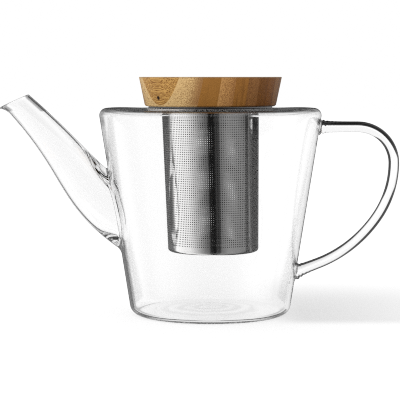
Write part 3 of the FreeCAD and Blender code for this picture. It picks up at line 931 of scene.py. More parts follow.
@dataclass
class GlassPot:
    """The blown body with its welded spout and handle, as one skin of glass."""

    height: float = 127.7
    foot_radius: float = 49.0
    top_radius: float = 69.2
    wall: float = 2.2
    top_wall: float = 0.9
    foot_bend: float = 6.5
    shoulder_bend: float = 4.5
    push_radius: float = 20.0
    push_height: float = 1.6
    push_run: float = 18.0
    push_bend: float = 60.0
    land_rise: float = 0.7
    land_foot: float = 40.4
    land_top: float = 39.2
    mouth: float = 31.6
    lip_bend: float = 0.3
    ripple: float = 0.03
    ripple_step: float = 10.0
    sag: float = 0.7
    sag_rise: Range = (112.0, 124.0)
    sag_reach: Range = (0.88, 0.6)
    columns: int = 192
    wall_step: float = 2.0

    spout_root_height: float = 65.5
    spout_root_lean: float = 36.5
    spout_root_pull: float = 27.9
    spout_tip_lean: float = 44.6
    spout_tip_pull: float = 46.8
    spout_run: float = 87.3
    spout_lean: float = 47.8
    spout_root_radius: float = 17.7
    spout_tip_radius: float = 8.2
    spout_wall: float = 1.3
    weld_lump: float = 4.2
    weld_reach: float = 7.5
    weld_narrowing: int = 4
    spout_lip_run: float = 7.5
    spout_lip_flare: float = 1.6
    spout_lip_bias: float = 1.3
    spout_lip_lean: float = 24.5
    spout_weld: float = 3.0
    spout_bore_weld: float = 1.2
    spout_patch: Range = (32.0, 100.0)
    spout_patch_half: int = 13
    spout_reach: Range = (-0.3, 1.15)

    rod: float = 6.55
    handle_height: float = 116.1
    handle_projection: float = 46.2
    handle_bend: float = 22.5
    handle_back: float = 59.2
    handle_back_turn: float = 33.6
    handle_tail: float = 77.9
    handle_tail_turn: float = 35.3
    handle_step: float = 1.4
    foot_flare: float = 1.4
    foot_reach: float = 4.0
    foot_coil: float = 2.6
    coil_depth: float = 0.45
    handle_weld: float = 1.6
    top_patch: Range = (-13.5, 13.5)
    low_patch: Range = (-12.0, 22.0)
    handle_patch_half: int = 6

    @property
    def slope(self) -> float:
        """How much the wall's radius grows for each millimetre of height."""
        return (self.top_radius - self.foot_radius) / self.height

    def wall_radius(self, height: np.ndarray | float, depth: float = 0.0) -> np.ndarray | float:
        """Radius of the wall at a height.

        Blown glass thins towards the shoulder, so the wall's thickness runs evenly from its foot to its top.

        Args:
            height: the height above the ground.
            depth: 0 on the wall's outer face and 1 on its inner one.
        Returns:
            The distance from the axis.
        """
        thickness = self.wall + (self.top_wall - self.wall) * height / self.height
        return self.foot_radius + self.slope * height - depth * thickness * math.hypot(1.0, self.slope)

    def outline(self) -> np.ndarray:
        """The whole section of the glass, from the middle of the base up outside and down inside.

        The floor's inner face has ripples, a cosine of the radius that fades with a sine to both ends.

        Returns:
            Points of (radius, height).
        """
        under = self.height - self.top_wall
        inner_foot, inner_top = self.wall_radius(self.wall, 1.0), self.wall_radius(under, 1.0)
        seat = self.height + self.land_rise
        ring = self.push_radius + self.push_run
        outline = rounded_outline([
            (0.0, self.push_height, 0.0),
            (self.push_radius, self.push_height, self.push_bend),
            (ring, 0.0, self.push_bend),
            (self.foot_radius, 0.0, self.foot_bend),
            (self.top_radius, self.height, self.shoulder_bend),
            (self.land_foot, self.height, self.lip_bend),
            (self.land_top, seat, self.lip_bend),
            (self.mouth, seat, self.lip_bend),
            (self.mouth, under, self.lip_bend),
            (inner_top, under, self.shoulder_bend - self.top_wall),
            (inner_foot, self.wall, self.foot_bend - self.wall),
            (ring, self.wall, self.push_bend),
            (self.push_radius, self.push_height + self.wall, self.push_bend),
            (0.0, self.push_height + self.wall, 0.0),
        ], self.wall_step)
        is_floor = (np.arange(len(outline)) > len(outline) // 2) & (outline[:, 0] < ring)
        fade = np.sin(np.pi * np.clip(outline[:, 0] / ring, 0, 1))
        outline[:, 1] += is_floor * self.ripple * fade * np.cos(2 * np.pi * outline[:, 0] / self.ripple_step)
        return outline

    def sagged(self, points: np.ndarray) -> np.ndarray:
        """Lower the shoulder across the middle, as blown glass sinks between its spout and its handle.

        The drop is the sag times a smooth rise up the wall and a smooth fall towards both ends in X.

        Args:
            points: places on the turned body, of shape (..., 3).
        Returns:
            The lowered places.
        """
        def smooth(values: np.ndarray, start: float, end: float) -> np.ndarray:
            """A smooth rise from 0 at the start to 1 at the end, share * share * (3 - 2 * share)."""
            share = np.clip((values - start) / (end - start), 0.0, 1.0)
            return share * share * (3 - 2 * share)

        across = np.abs(points[..., 0]) / self.top_radius
        drop = self.sag * smooth(points[..., 2], *self.sag_rise) * smooth(across, *self.sag_reach)
        return points - drop[..., None] * UP

    def spout_centre(self, share: np.ndarray) -> tuple[np.ndarray, np.ndarray]:
        """The spout's centre line, a cubic curve that runs on straight past its end.

        Args:
            share: places along the line, 0 at the wall and 1 at the tip.
        Returns:
            Points and directions in the XZ plane, of shape (..., 2).
        """
        def lean(angle: float) -> np.ndarray:
            """The direction that rises towards -X at an angle in degrees."""
            return np.array([-math.cos(math.radians(angle)), math.sin(math.radians(angle))])

        root = np.array([-self.wall_radius(self.spout_root_height), self.spout_root_height])
        tip = root + self.spout_run * lean(self.spout_lean)
        pulls = [root, root + self.spout_root_pull * lean(self.spout_root_lean),
                 tip - self.spout_tip_pull * lean(self.spout_tip_lean), tip]
        along = np.minimum(share, 1.0)[..., None]
        rest = 1 - along
        point = sum(math.comb(3, k) * rest ** (3 - k) * along ** k * pulls[k] for k in range(4))
        speed = sum(3 * math.comb(2, k) * rest ** (2 - k) * along ** k * (pulls[k + 1] - pulls[k]) for k in range(3))
        point = point + np.maximum(share - 1.0, 0.0)[..., None] * speed
        return point, speed / np.linalg.norm(speed, axis=-1, keepdims=True)

    def spout_points(self, share: np.ndarray, turn: np.ndarray, inset: np.ndarray | float = 0.0) -> np.ndarray:
        """Points on the spout's skin: the centre plus the radius round the line's own normal and Y.

        The radius falls evenly from root to tip. Past the tip it flares with the square of the distance, mostly below.

        Args:
            share: places along the line.
            turn: angles round the line, 0 towards +Y and a quarter turn upwards.
            inset: how far the skin lies inside the spout's outer face.
        Returns:
            Points of shape (..., 3).
        """
        centre, heading = self.spout_centre(share)
        lip_share = self.spout_lip_run / (3 * self.spout_tip_pull)
        past = np.maximum(share - 1.0, 0.0) / lip_share
        lower = (self.spout_lip_bias - np.sin(turn)) / self.spout_lip_bias
        radius = (self.spout_tip_radius + (self.spout_root_radius - self.spout_tip_radius) * np.maximum(1 - share, 0.0)
                  + self.spout_lip_flare * past ** 2 * lower - inset)
        rise = np.sin(turn) * radius
        return np.stack([centre[..., 0] + rise * heading[..., 1], np.cos(turn) * radius,
                         centre[..., 1] - rise * heading[..., 0]], axis=-1)

    def spout_bore(self, share: np.ndarray, turn: np.ndarray) -> np.ndarray:
        """Points on the spout's inner face, drawn in by its wall and by the lumps of the weld above and below.

        A lump fades with the square of the distance from the wall, and sideways with a power of the sine.

        Args:
            share: places along the line.
            turn: angles round the line.
        Returns:
            Points of shape (..., 3).
        """
        skin = self.spout_points(share, turn)
        away = np.hypot(skin[..., 0], skin[..., 1]) - self.wall_radius(skin[..., 2])
        upright = np.abs(np.sin(turn)) ** self.weld_narrowing
        lump = self.weld_lump * upright * np.exp(-((away / self.weld_reach) ** 2))
        return self.spout_points(share, turn, self.spout_wall + lump)

    def handle_line(self) -> tuple[np.ndarray, np.ndarray]:
        """The handle's route out of the wall, round the top bend, down the back and in to the wall.

        Straight runs join arcs that touch them, so the heading only turns, never jumps. Both ends lie in the wall.

        Returns:
            Points and headings in the XZ plane, of shape (count, 2).
        """
        reach = self.wall_radius(self.handle_height) + self.handle_projection
        embed = self.rod
        start = self.wall_radius(self.handle_height) - embed
        runs = [(reach - self.handle_bend - start, 0.0), (self.handle_bend, 90.0),
                (self.handle_back, self.handle_back_turn), (self.handle_tail, self.handle_tail_turn), (0.0, 0.0)]
        place, heading = np.array([start, self.handle_height]), 0.0
        points, headings = [], []
        for number, (size, bend) in enumerate(runs):
            is_last = number == len(runs) - 1
            first, end_angle = math.radians(heading), math.radians(heading - bend)
            if is_last:
                gap = place[0] - self.wall_radius(place[1])
                size = gap / (self.slope * math.sin(first) - math.cos(first)) + embed
            length = math.radians(bend) * size if bend else size
            count = max(2, math.ceil(length / self.handle_step))
            share = np.linspace(0, 1, count + 1)[:count + is_last]
            angle = np.radians(heading - bend * share)
            if bend:
                offset = size * np.stack([np.sin(first) - np.sin(angle), np.cos(angle) - np.cos(first)], axis=-1)
                end = size * np.array([math.sin(first) - math.sin(end_angle), math.cos(end_angle) - math.cos(first)])
            else:
                end = size * np.array([math.cos(first), math.sin(first)])
                offset = share[:, None] * end
            points.append(place + offset)
            headings.append(np.stack([np.cos(angle), np.sin(angle)], axis=-1))
            place, heading = place + end, heading - bend
        return np.concatenate(points), np.concatenate(headings)

    def build(self) -> bpy.types.Object:
        """Make the fused glass skin as one closed mesh."""
        return GlassSkin(self).build()


class GlassSkin:
    """Stitches the pot, its spout and its handle into one closed skin."""

    on_face: float = 1e-6
    wall_rows: int = 4
    weld_rows: int = 8
    weld_pull: float = 0.62
    spout_rows: int = 110
    lip_pieces: int = 7
    rod_pieces: int = 149

    def __init__(self, pot: GlassPot) -> None:
        """Turn the pot's outline and note which rows lie on the wall.

        Args:
            pot: the sizes and lines of the pot.
        """
        self.pot = pot
        self.builder = MeshBuilder()
        outline = pot.outline()
        self.points = pot.sagged(turned_points(outline[1:-1], pot.columns))
        self.index = self.builder.add(self.points)
        self.builder.cap(self.index, outline[0, 1] * UP, outline[-1, 1] * UP)
        self.keep = np.ones((len(self.index) - 1, pot.columns), bool)
        radius, self.height = outline[1:-1, 0], outline[1:-1, 1]
        self.outer_rows, self.inner_rows = (
            np.flatnonzero(np.abs(radius - pot.wall_radius(self.height, depth)) < self.on_face) for depth in (0.0, 1.0))

    def open_patch(self, rows: np.ndarray, low: float, high: float, middle: int, half: int, flip: bool = False,
                   count: int | None = None) -> tuple[np.ndarray, np.ndarray]:
        """Take a patch of quads out of the wall and list the points round its edge.

        Args:
            rows: the rows that lie on one face of the wall.
            low: lowest height of the patch.
            high: highest height of the patch.
            middle: column at the patch's middle.
            half: columns on each side of the middle.
            flip: whether the edge is listed the other way round.
            count: number of row steps, where it has to match another patch.
        Returns:
            Indices round the edge and their angles round the patch's middle, both in the order of the angle.
        """
        chosen = np.sort(rows[(self.height[rows] > low) & (self.height[rows] < high)])
        if count is not None:
            spare = len(chosen) - 1 - count
            chosen = chosen[spare // 2: len(chosen) - (spare - spare // 2)]
        first, last = int(chosen[0]), int(chosen[-1])
        columns = np.arange(middle - half, middle + half + 1) % self.pot.columns
        self.keep[np.ix_(np.arange(first, last), columns[:-1])] = False
        steps = np.arange(first + 1, last)
        edge = np.concatenate([self.index[first, columns], self.index[last, columns],
                               self.index[steps, columns[0]], self.index[steps, columns[-1]]])
        places = self.at(edge)
        middle_height = (places[:, 2].min() + places[:, 2].max()) / 2
        angle = np.arctan2((places[:, 2] - middle_height) / np.ptp(places[:, 2]), places[:, 1] / np.ptp(places[:, 1]))
        angle = -angle if flip else angle
        order = np.argsort(angle)
        return edge[order], angle[order]

    def at(self, indices: np.ndarray) -> np.ndarray:
        """Places of points of the turned body."""
        return self.points.reshape(-1, 3)[indices]

    @staticmethod
    def unrolled(places: np.ndarray, side: float) -> np.ndarray:
        """Places on the wall laid flat, as the arc's length from the middle of one side, and the height.

        Args:
            places: points of shape (count, 3).
            side: -1 for the spout's side and 1 for the handle's.
        Returns:
            Points of shape (count, 2).
        """
        arc = np.arctan2(places[:, 1], side * places[:, 0]) * np.hypot(places[:, 0], places[:, 1])
        return np.stack([arc, places[:, 2]], axis=-1)

    def weld(self, edge: np.ndarray, tube: "Tube", depth: float, weld: float) -> np.ndarray:
        """Run the wall from a patch's edge to a tube's skin, through a rounded weld.

        Each line leaves the edge along the wall, turns through a cubic curve whose corner is where the tube's skin
        meets the wall, and ends on the tube.

        Args:
            edge: indices round the patch.
            tube: the tube's skin, one line for each point of the edge.
            depth: 0 on the wall's outer face and 1 on its inner one.
            weld: how far the weld reaches along the wall and along the tube.
        Returns:
            Rows of indices, from the patch's edge to the start of the tube.
        """
        pot = self.pot
        corner = tube.meeting(lambda p: np.hypot(p[..., 0], p[..., 1]) - pot.wall_radius(p[..., 2], depth))
        start = tube.after(weld)
        side = math.copysign(1.0, float(corner[:, 0].mean()))
        level = self.unrolled(corner, side)
        outward = level - level.mean(axis=0)
        flat = level + weld * outward / np.linalg.norm(outward, axis=-1, keepdims=True)
        edge_level = self.unrolled(self.at(edge), side)
        share = np.linspace(0, 1, self.wall_rows + 1)[1:, None, None]
        spread = edge_level + share * (flat - edge_level)
        radius = pot.wall_radius(spread[..., 1], depth)
        angle = spread[..., 0] / radius
        on_wall = np.stack([side * radius * np.cos(angle), radius * np.sin(angle), spread[..., 1]], axis=-1)
        begin = on_wall[-1]
        first, second = (end + self.weld_pull * (corner - end) for end in (begin, start))
        along = np.linspace(0, 1, self.weld_rows + 1)[1:, None, None]
        rest = 1 - along
        bend = rest ** 3 * begin + 3 * rest ** 2 * along * first + 3 * rest * along ** 2 * second + along ** 3 * start
        new = self.builder.add(np.concatenate([on_wall, bend]))
        return np.concatenate([edge[None], new])

    def spout(self) -> None:
        """Open the wall for the spout, run its outer face to the lip and its inner face back to the wall.

        The lip is half a circle between the two faces, in the plane that the lip is cut along.
        """
        pot = self.pot
        middle, half = pot.columns // 2, pot.spout_patch_half
        outer_edge, outer_turn = self.open_patch(self.outer_rows, *pot.spout_patch, middle, half)
        steps = len(outer_edge) // 2 - 2 * half
        inner_edge, inner_turn = self.open_patch(self.inner_rows, *pot.spout_patch, middle, half, count=steps)
        lip_lean = math.radians(pot.spout_lip_lean)
        tip, heading = pot.spout_centre(np.array(1.0))
        lip = tip + pot.spout_tip_radius * np.array([heading[1], -heading[0]])
        square = np.array([-math.sin(lip_lean), math.cos(lip_lean)])

        def above_lip(points: np.ndarray) -> np.ndarray:
            """How far points lie above the plane that the lip's roundness starts from."""
            return (points[..., [0, 2]] - lip) @ square + pot.spout_wall / 2

        outer = Tube(pot.spout_points, outer_turn, *pot.spout_reach)
        inner = Tube(pot.spout_bore, inner_turn, *pot.spout_reach)
        outer_root = self.weld(outer_edge, outer, 0.0, pot.spout_weld)
        inner_root = self.weld(inner_edge, inner, 1.0, pot.spout_bore_weld)
        outer_rows, inner_rows = (tube.rows_to(above_lip, self.spout_rows) for tube in (outer, inner))
        rim_out, rim_in = outer_rows[-1], inner_rows[-1]
        arc = np.linspace(0, np.pi, self.lip_pieces + 1)[1:-1, None, None]
        bulge = np.array([square[0], 0.0, square[1]]) * pot.spout_wall / 2
        rim = (rim_out + rim_in) / 2 + (rim_out - rim_in) / 2 * np.cos(arc) + bulge * np.sin(arc)
        skin = self.builder.add(np.concatenate([outer_rows[1:], rim, inner_rows[:0:-1]]))
        self.builder.join(np.concatenate([outer_root, skin, inner_root[::-1]]))

    def handle(self) -> None:
        """Open the wall at both ends of the handle and run the rod's skin between them."""
        pot = self.pot
        line, heading = pot.handle_line()
        length = np.concatenate([[0.0], np.cumsum(np.linalg.norm(np.diff(line, axis=0), axis=-1))])
        half = pot.handle_patch_half
        top_span, low_span = ([end + reach for reach in patch] for end, patch in
                              ((pot.handle_height, pot.top_patch), (line[-1, 1], pot.low_patch)))
        top_edge, top_turn = self.open_patch(self.outer_rows, *top_span, 0, half)
        steps = len(top_edge) // 2 - 2 * half
        low_edge, low_turn = self.open_patch(self.outer_rows, *low_span, 0, half, True, steps)

        def skin(share: np.ndarray, turn: np.ndarray) -> np.ndarray:
            """Points on the rod's skin: the line plus the radius round its heading.

            At both ends the radius flares and fades with the distance, in a few coils that follow a cosine.

            Args:
                share: places along the line.
                turn: angles round it, 0 towards +Y.
            Returns:
                Points of shape (..., 3).
            """
            place = share * length[-1]
            x, z, hx, hz = (np.interp(place, length, values) for values in (*line.T, *heading.T))
            from_end = np.minimum(place, length[-1] - place) - pot.rod
            coil = 1 + pot.coil_depth * np.cos(2 * np.pi * from_end / pot.foot_coil)
            flare = pot.foot_flare * np.exp(-np.maximum(from_end, 0.0) / pot.foot_reach) * coil
            radius = pot.rod / 2 + flare
            rise = radius * np.sin(turn)
            return np.stack([x - rise * hz, radius * np.cos(turn), z + rise * hx], axis=-1)

        top = Tube(skin, top_turn, 0.0, 0.5)
        low = Tube(lambda share, turn: skin(1 - share, turn), low_turn, 0.0, 0.5)
        top_root = self.weld(top_edge, top, 0.0, pot.handle_weld)
        low_root = self.weld(low_edge, low, 0.0, pot.handle_weld)
        share = np.linspace(0, 1, self.rod_pieces + 1)[1:-1, None]
        place = top.start + share * (1 - low.start - top.start)
        turn = top_turn + share * (low_turn - top_turn)
        rod = self.builder.add(skin(place, turn))
        self.builder.join(np.concatenate([top_root, rod, low_root[::-1]]))

    def build(self) -> bpy.types.Object:
        """Stitch everything and make the piece.

        Returns:
            The new piece.
        """
        self.spout()
        self.handle()
        self.builder.join(self.index, keep=self.keep)
        return self.builder.build("glass_pot", [GLASS], crease=180.0)


class Tube:
    """Lines along a tube's skin, one for each angle round it."""

    samples: int = 1200
    small_step: float = 1e-3

    def __init__(self, skin: Skin, turn: np.ndarray, low: float, high: float) -> None:
        """Sample every line from one share of the tube's length to another.

        Args:
            skin: the skin's points at a share of the length and an angle.
            turn: the lines' angles.
            low: share at which the lines start.
            high: share at which they end.
        """
        self.skin = skin
        self.turn = turn
        self.share = np.linspace(low, high, self.samples)[:, None]
        self.points = skin(self.share, turn[None])
        self.start = np.zeros_like(turn)

    def crossing(self, values: np.ndarray) -> np.ndarray:
        """The share at which each line's value last turns from below zero to above it, straight between samples.

        Args:
            values: one value for each sample and line.
        Returns:
            One share for each line.
        """
        rises = (values[:-1] < 0) & (values[1:] >= 0)
        last = len(rises) - 1 - np.argmax(rises[::-1], axis=0)
        column = np.arange(values.shape[1])
        before, after = values[last, column], values[last + 1, column]
        step = self.share[1, 0] - self.share[0, 0]
        return self.share[last, 0] + step * before / (before - after)

    def meeting(self, outside: Level) -> np.ndarray:
        """Points where the lines leave a wall, given a function that is positive outside it."""
        self.start = self.crossing(outside(self.points))
        return self.skin(self.start, self.turn)

    def after(self, run: float) -> np.ndarray:
        """Points further along the lines, which become their starts.

        Args:
            run: how much further, in millimetres.
        Returns:
            One point for each line.
        """
        ahead = self.skin(self.start + self.small_step, self.turn) - self.skin(self.start, self.turn)
        self.start = self.start + run / (np.linalg.norm(ahead, axis=-1) / self.small_step)
        return self.skin(self.start, self.turn)

    def rows_to(self, beyond: Level, count: int) -> np.ndarray:
        """Rows of points from the starts to where a function turns positive.

        Args:
            beyond: the function of the points.
            count: number of rows.
        Returns:
            Points of shape (count, lines, 3).
        """
        end = self.crossing(beyond(self.points))
        share = self.start + np.linspace(0, 1, count)[:, None] * (end - self.start)
        return self.skin(share, self.turn)


@dataclass
class Infuser:
    """The hanging steel strainer: a flanged collar, a tube of perforated sheet and a cup."""

    sheet: float = 0.5
    seat: float = 128.4
    depth: float = 89.4
    lean: float = 1.8
    columns: int = 160

    flange_radius: float = 38.2
    flange: float = 0.4
    curl: float = 0.7
    edge_bend: float = 0.45
    # Width of the flange's outer edge that takes the dark steel, a painted shade under the lid.
    shaded_edge_width: float = 0.5
    collar: float = 28.9
    collar_drop: float = 5.0
    collar_overlap: float = 4.0
    collar_step: float = 0.6
    collar_play: float = 0.15
    mouth_bend: float = 0.5
    step_bend: float = 0.3
    end_bend: float = 0.1
    rim_step: float = 3.0

    tube_top: float = 30.0
    tube_foot: float = 28.2
    tube_rise: float = 2.72
    foot_margin: float = 0.2
    crown_margin: float = 1.0
    hole: float = 0.58
    pitch_round: float = 1.36
    rows: int = 60
    seam: Range = (48.0, 84.0)
    lap: Range = (50.0, 59.5)
    lap_edge: float = 0.35
    lap_rise: float = 0.3
    lap_fade: float = 6.0
    lap_pieces: int = 5
    plain_pieces: int = 13

    cup_height: float = 4.3
    cup_bend: float = 2.0
    cup_step: float = 1.5

    def rim(self) -> bpy.types.Object:
        """The flange and the stepped collar, turned, with the flange's cut edge in a dark finish of its own, painted
        shade.

        Returns:
            The new piece.
        """
        low, brim, top = self.seat - self.curl, self.seat + self.flange, self.seat - self.collar_drop
        bore, lap = self.collar - self.sheet, self.tube_top - self.sheet - self.collar_play
        step, foot = top - self.collar_step, top - self.collar_overlap
        outline = rounded_outline([
            (self.flange_radius, low, self.edge_bend), (self.flange_radius, brim, self.edge_bend),
            (bore, brim, self.mouth_bend), (bore, top, self.step_bend),
            (lap - self.sheet, step, self.step_bend), (lap - self.sheet, foot, self.end_bend),
            (lap, foot, self.end_bend), (lap, step, self.step_bend),
            (self.collar, top, self.step_bend), (self.collar, low, self.step_bend)], self.rim_step, closed=True)
        ring = turned_ring(outline, self.columns, self.flange_radius - self.shaded_edge_width)
        return ring.build("infuser_rim_steel", [RIM_STEEL, SHADED_EDGE_STEEL])

    def cup(self) -> bpy.types.Object:
        """The drawn cup that closes the tube, turned about the tube's own axis.

        Returns:
            The new piece.
        """
        foot, bore = self.seat - self.depth, self.tube_foot - self.sheet
        brim, floor = foot + self.cup_height, foot + self.sheet
        outline = rounded_outline([
            (0.0, foot, 0.0), (self.tube_foot, foot, self.cup_bend), (self.tube_foot, brim, 0.0),
            (bore, brim, 0.0), (bore, floor, self.cup_bend - self.sheet), (0.0, floor, 0.0)], self.cup_step)
        builder = MeshBuilder()
        hang = np.array([self.lean, 0.0, 0.0])
        index = builder.add(turned_points(outline[1:-1], self.columns) + hang)
        builder.cap(index, outline[0, 1] * UP + hang, outline[-1, 1] * UP + hang)
        builder.join(index)
        return builder.build("infuser_base_steel", [RIM_STEEL], crease=50.0)

    def column_angles(self) -> np.ndarray:
        """Angles between the columns of holes, with the plain seam and its lap.

        Returns:
            Rising angles in degrees, measured from the front towards the handle.
        """
        start, end = self.seam[1], self.seam[0] + 360.0
        middle_radius = (self.tube_top + self.tube_foot) / 2
        count = round(math.radians(end - start) * middle_radius / self.pitch_round)
        holes = np.linspace(start, end, count + 1)
        seam = np.array([self.lap[0], self.lap[0] + self.lap_edge, self.lap[1] - self.lap_edge, self.lap[1]]) + 360.0
        between = np.linspace(seam[1], seam[2], self.lap_pieces + 1)[1:-1]
        plain = np.linspace(seam[3], start + 360.0, self.plain_pieces + 1)[1:-1]
        return np.concatenate([holes, np.sort(np.concatenate([seam, between, plain]))])

    def screen(self) -> bpy.types.Object:
        """The perforated tube: each cell of the sheet has a square hole through both faces, but for the seam.

        Returns:
            The new piece.
        """
        angles = self.column_angles()
        foot, top = self.seat - self.depth + self.cup_height, self.seat - self.collar_drop
        crown = top + self.tube_rise
        holed = np.linspace(foot + self.foot_margin, crown - self.crown_margin, self.rows + 1)
        height = np.concatenate([[foot], holed, [crown]])
        is_lap = (angles - 360.0 > self.lap[0] + self.lap_edge / 2) & (angles - 360.0 < self.lap[1] - self.lap_edge / 2)
        fade = np.clip((height[:, None] - foot) / self.lap_fade, 0, 1)
        rise = np.where(is_lap, self.lap_rise, 0.0) * fade
        turn = np.radians(angles)

        def place(column: np.ndarray, level: np.ndarray, lift: np.ndarray | float) -> np.ndarray:
            """Points on a cone that leans: x = r sin + shift, y = -r cos, with r and shift even in the height.

            Args:
                column: angles from the front.
                level: heights.
                lift: how far the points lie outside the tube's outer face.
            Returns:
                Points of shape (..., 3).
            """
            radius = self.tube_foot + (self.tube_top - self.tube_foot) * (level - foot) / (top - foot) + lift
            shift = self.lean * (top - level) / (top - foot)
            return np.stack([radius * np.sin(column) + shift, -radius * np.cos(column), level + 0 * column], axis=-1)

        builder = MeshBuilder()
        outer, inner = (builder.add(place(turn[None], height[:, None], lift)) for lift in (rise, -self.sheet))
        is_hole = np.zeros((len(height) - 1, len(angles)), bool)
        last = int(np.flatnonzero(np.isclose(angles, self.seam[0] + 360.0))[0])
        is_hole[1:-1, :last] = True
        row, column = np.argwhere(is_hole).T
        ahead = (column + 1) % len(angles)
        level = (height[row] + height[row + 1]) / 2
        middle = np.radians((angles + np.append(angles[1:], angles[0] + 360.0)) / 2)[column]
        half_turn = self.hole / (self.tube_top + self.tube_foot)
        corners = np.array([(-1, -1), (1, -1), (1, 1), (-1, 1)], float)
        holes = []
        for slot, (index, lift) in enumerate(((outer, 0.0), (inner, -self.sheet))):
            builder.join(index, keep=~is_hole, slot=slot)
            hole = builder.add(place(middle[:, None] + half_turn * corners[:, 0],
                                     level[:, None] + self.hole / 2 * corners[:, 1], lift))
            cell = np.stack([index[row, column], index[row, ahead], index[row + 1, ahead], index[row + 1, column]],
                            axis=-1)
            builder.face(np.stack([cell, np.roll(cell, -1, axis=1), np.roll(hole, -1, axis=1), hole], axis=-1), slot)
            holes.append(hole)
        through = [holes[0], np.roll(holes[0], -1, axis=1), np.roll(holes[1], -1, axis=1), holes[1]]
        builder.face(np.stack(through, axis=-1), 1)
        for end in (0, -1):
            builder.join(np.stack([outer[end], inner[end]]))
        # The inner face and the holes' walls are near-black steel: painted shade inside the tube.
        return builder.build("infuser_screen", [SCREEN_STEEL, SHADED_INNER_STEEL], crease=30.0)


@dataclass
class BambooLid:
    """The laminated lid: the part's own strips with smooth faces, and the silicone ring."""

    strips: int = 12
    flare: float = 0.2056
    side_angle: float = 8.0
    crease: float = 30.0
    merging: float = 1e-7
    ring_inside: float = 25.8
    ring_waist: float = 0.55
    ring_bend: float = 0.2
    lip_bend: float = 0.3
    ring_step: float = 1.0
    ring_columns: int = 128

    def strip(self, number: int) -> bpy.types.Object:
        """A smooth copy of one strip's solid, dressed in its own bamboo.

        Args:
            number: the strip's number, from 1.
        Returns:
            The new piece.
        """
        node = frame["nodes"][f"lid_strip_{number:02d}"]
        mesh = node.data.copy()
        mesh.name = f"bamboo_{number:02d}"
        shell = bmesh.new()
        shell.from_mesh(mesh)
        bmesh.ops.remove_doubles(shell, verts=shell.verts, dist=self.merging)
        shell.to_mesh(mesh)
        shell.free()
        mesh.shade_smooth()
        mesh.set_sharp_from_angle(angle=math.radians(self.crease))
        self.true_side(mesh)
        mesh.materials.clear()
        mesh.materials.append(STRIP_FINISHES[number - 1].material())
        item = bpy.data.objects.new(mesh.name, mesh)
        item.visible_glossy = False
        bpy.context.scene.collection.objects.link(item)
        return item

    def true_side(self, mesh: bpy.types.Mesh) -> None:
        """Give the faces on the flared side the cone's own normals, (cos, sin, -flare) at each corner.

        Args:
            mesh: the strip's mesh, changed in place.
        """
        corner = np.empty(len(mesh.loops), np.int32)
        mesh.loops.foreach_get("vertex_index", corner)
        totals = np.empty(len(mesh.polygons), np.int32)
        mesh.polygons.foreach_get("loop_total", totals)
        face_of = np.repeat(np.arange(len(totals)), totals)
        places, faces, normals = (np.empty((count, 3), np.float32)
                                  for count in (len(mesh.vertices), len(mesh.polygons), len(mesh.loops)))
        mesh.vertices.foreach_get("co", places.ravel())
        mesh.polygons.foreach_get("normal", faces.ravel())
        mesh.corner_normals.foreach_get("vector", normals.ravel())
        flat = places[corner, :2] / np.linalg.norm(places[corner, :2], axis=-1, keepdims=True).clip(1e-9)
        cone = np.column_stack([flat, np.full(len(flat), -self.flare)]) / math.hypot(1.0, self.flare)
        is_side = np.sum(cone * faces[face_of], axis=-1) > math.cos(math.radians(self.side_angle))
        mesh.normals_split_custom_set(np.where(is_side[:, None], cone, normals))

    def seal(self) -> bpy.types.Object:
        """The ring with two soft lips, turned to its solid's box.

        Returns:
            The new piece.
        """
        low, high = (np.array(corner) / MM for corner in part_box("lid_seal"))
        inside, outside, foot, top = self.ring_inside, high[0], low[2], high[2]
        waist, quarter = outside - self.ring_waist, (top - foot) / 4
        outline = rounded_outline([
            (inside, foot, self.ring_bend), (waist, foot, self.ring_bend), (outside, foot + quarter, self.lip_bend),
            (waist, foot + 2 * quarter, self.lip_bend), (outside, foot + 3 * quarter, self.lip_bend),
            (waist, top, self.ring_bend), (inside, top, self.ring_bend)], self.ring_step, closed=True)
        return turned_ring(outline, self.ring_columns).build("lid_seal_ring", [SILICONE], crease=60.0)


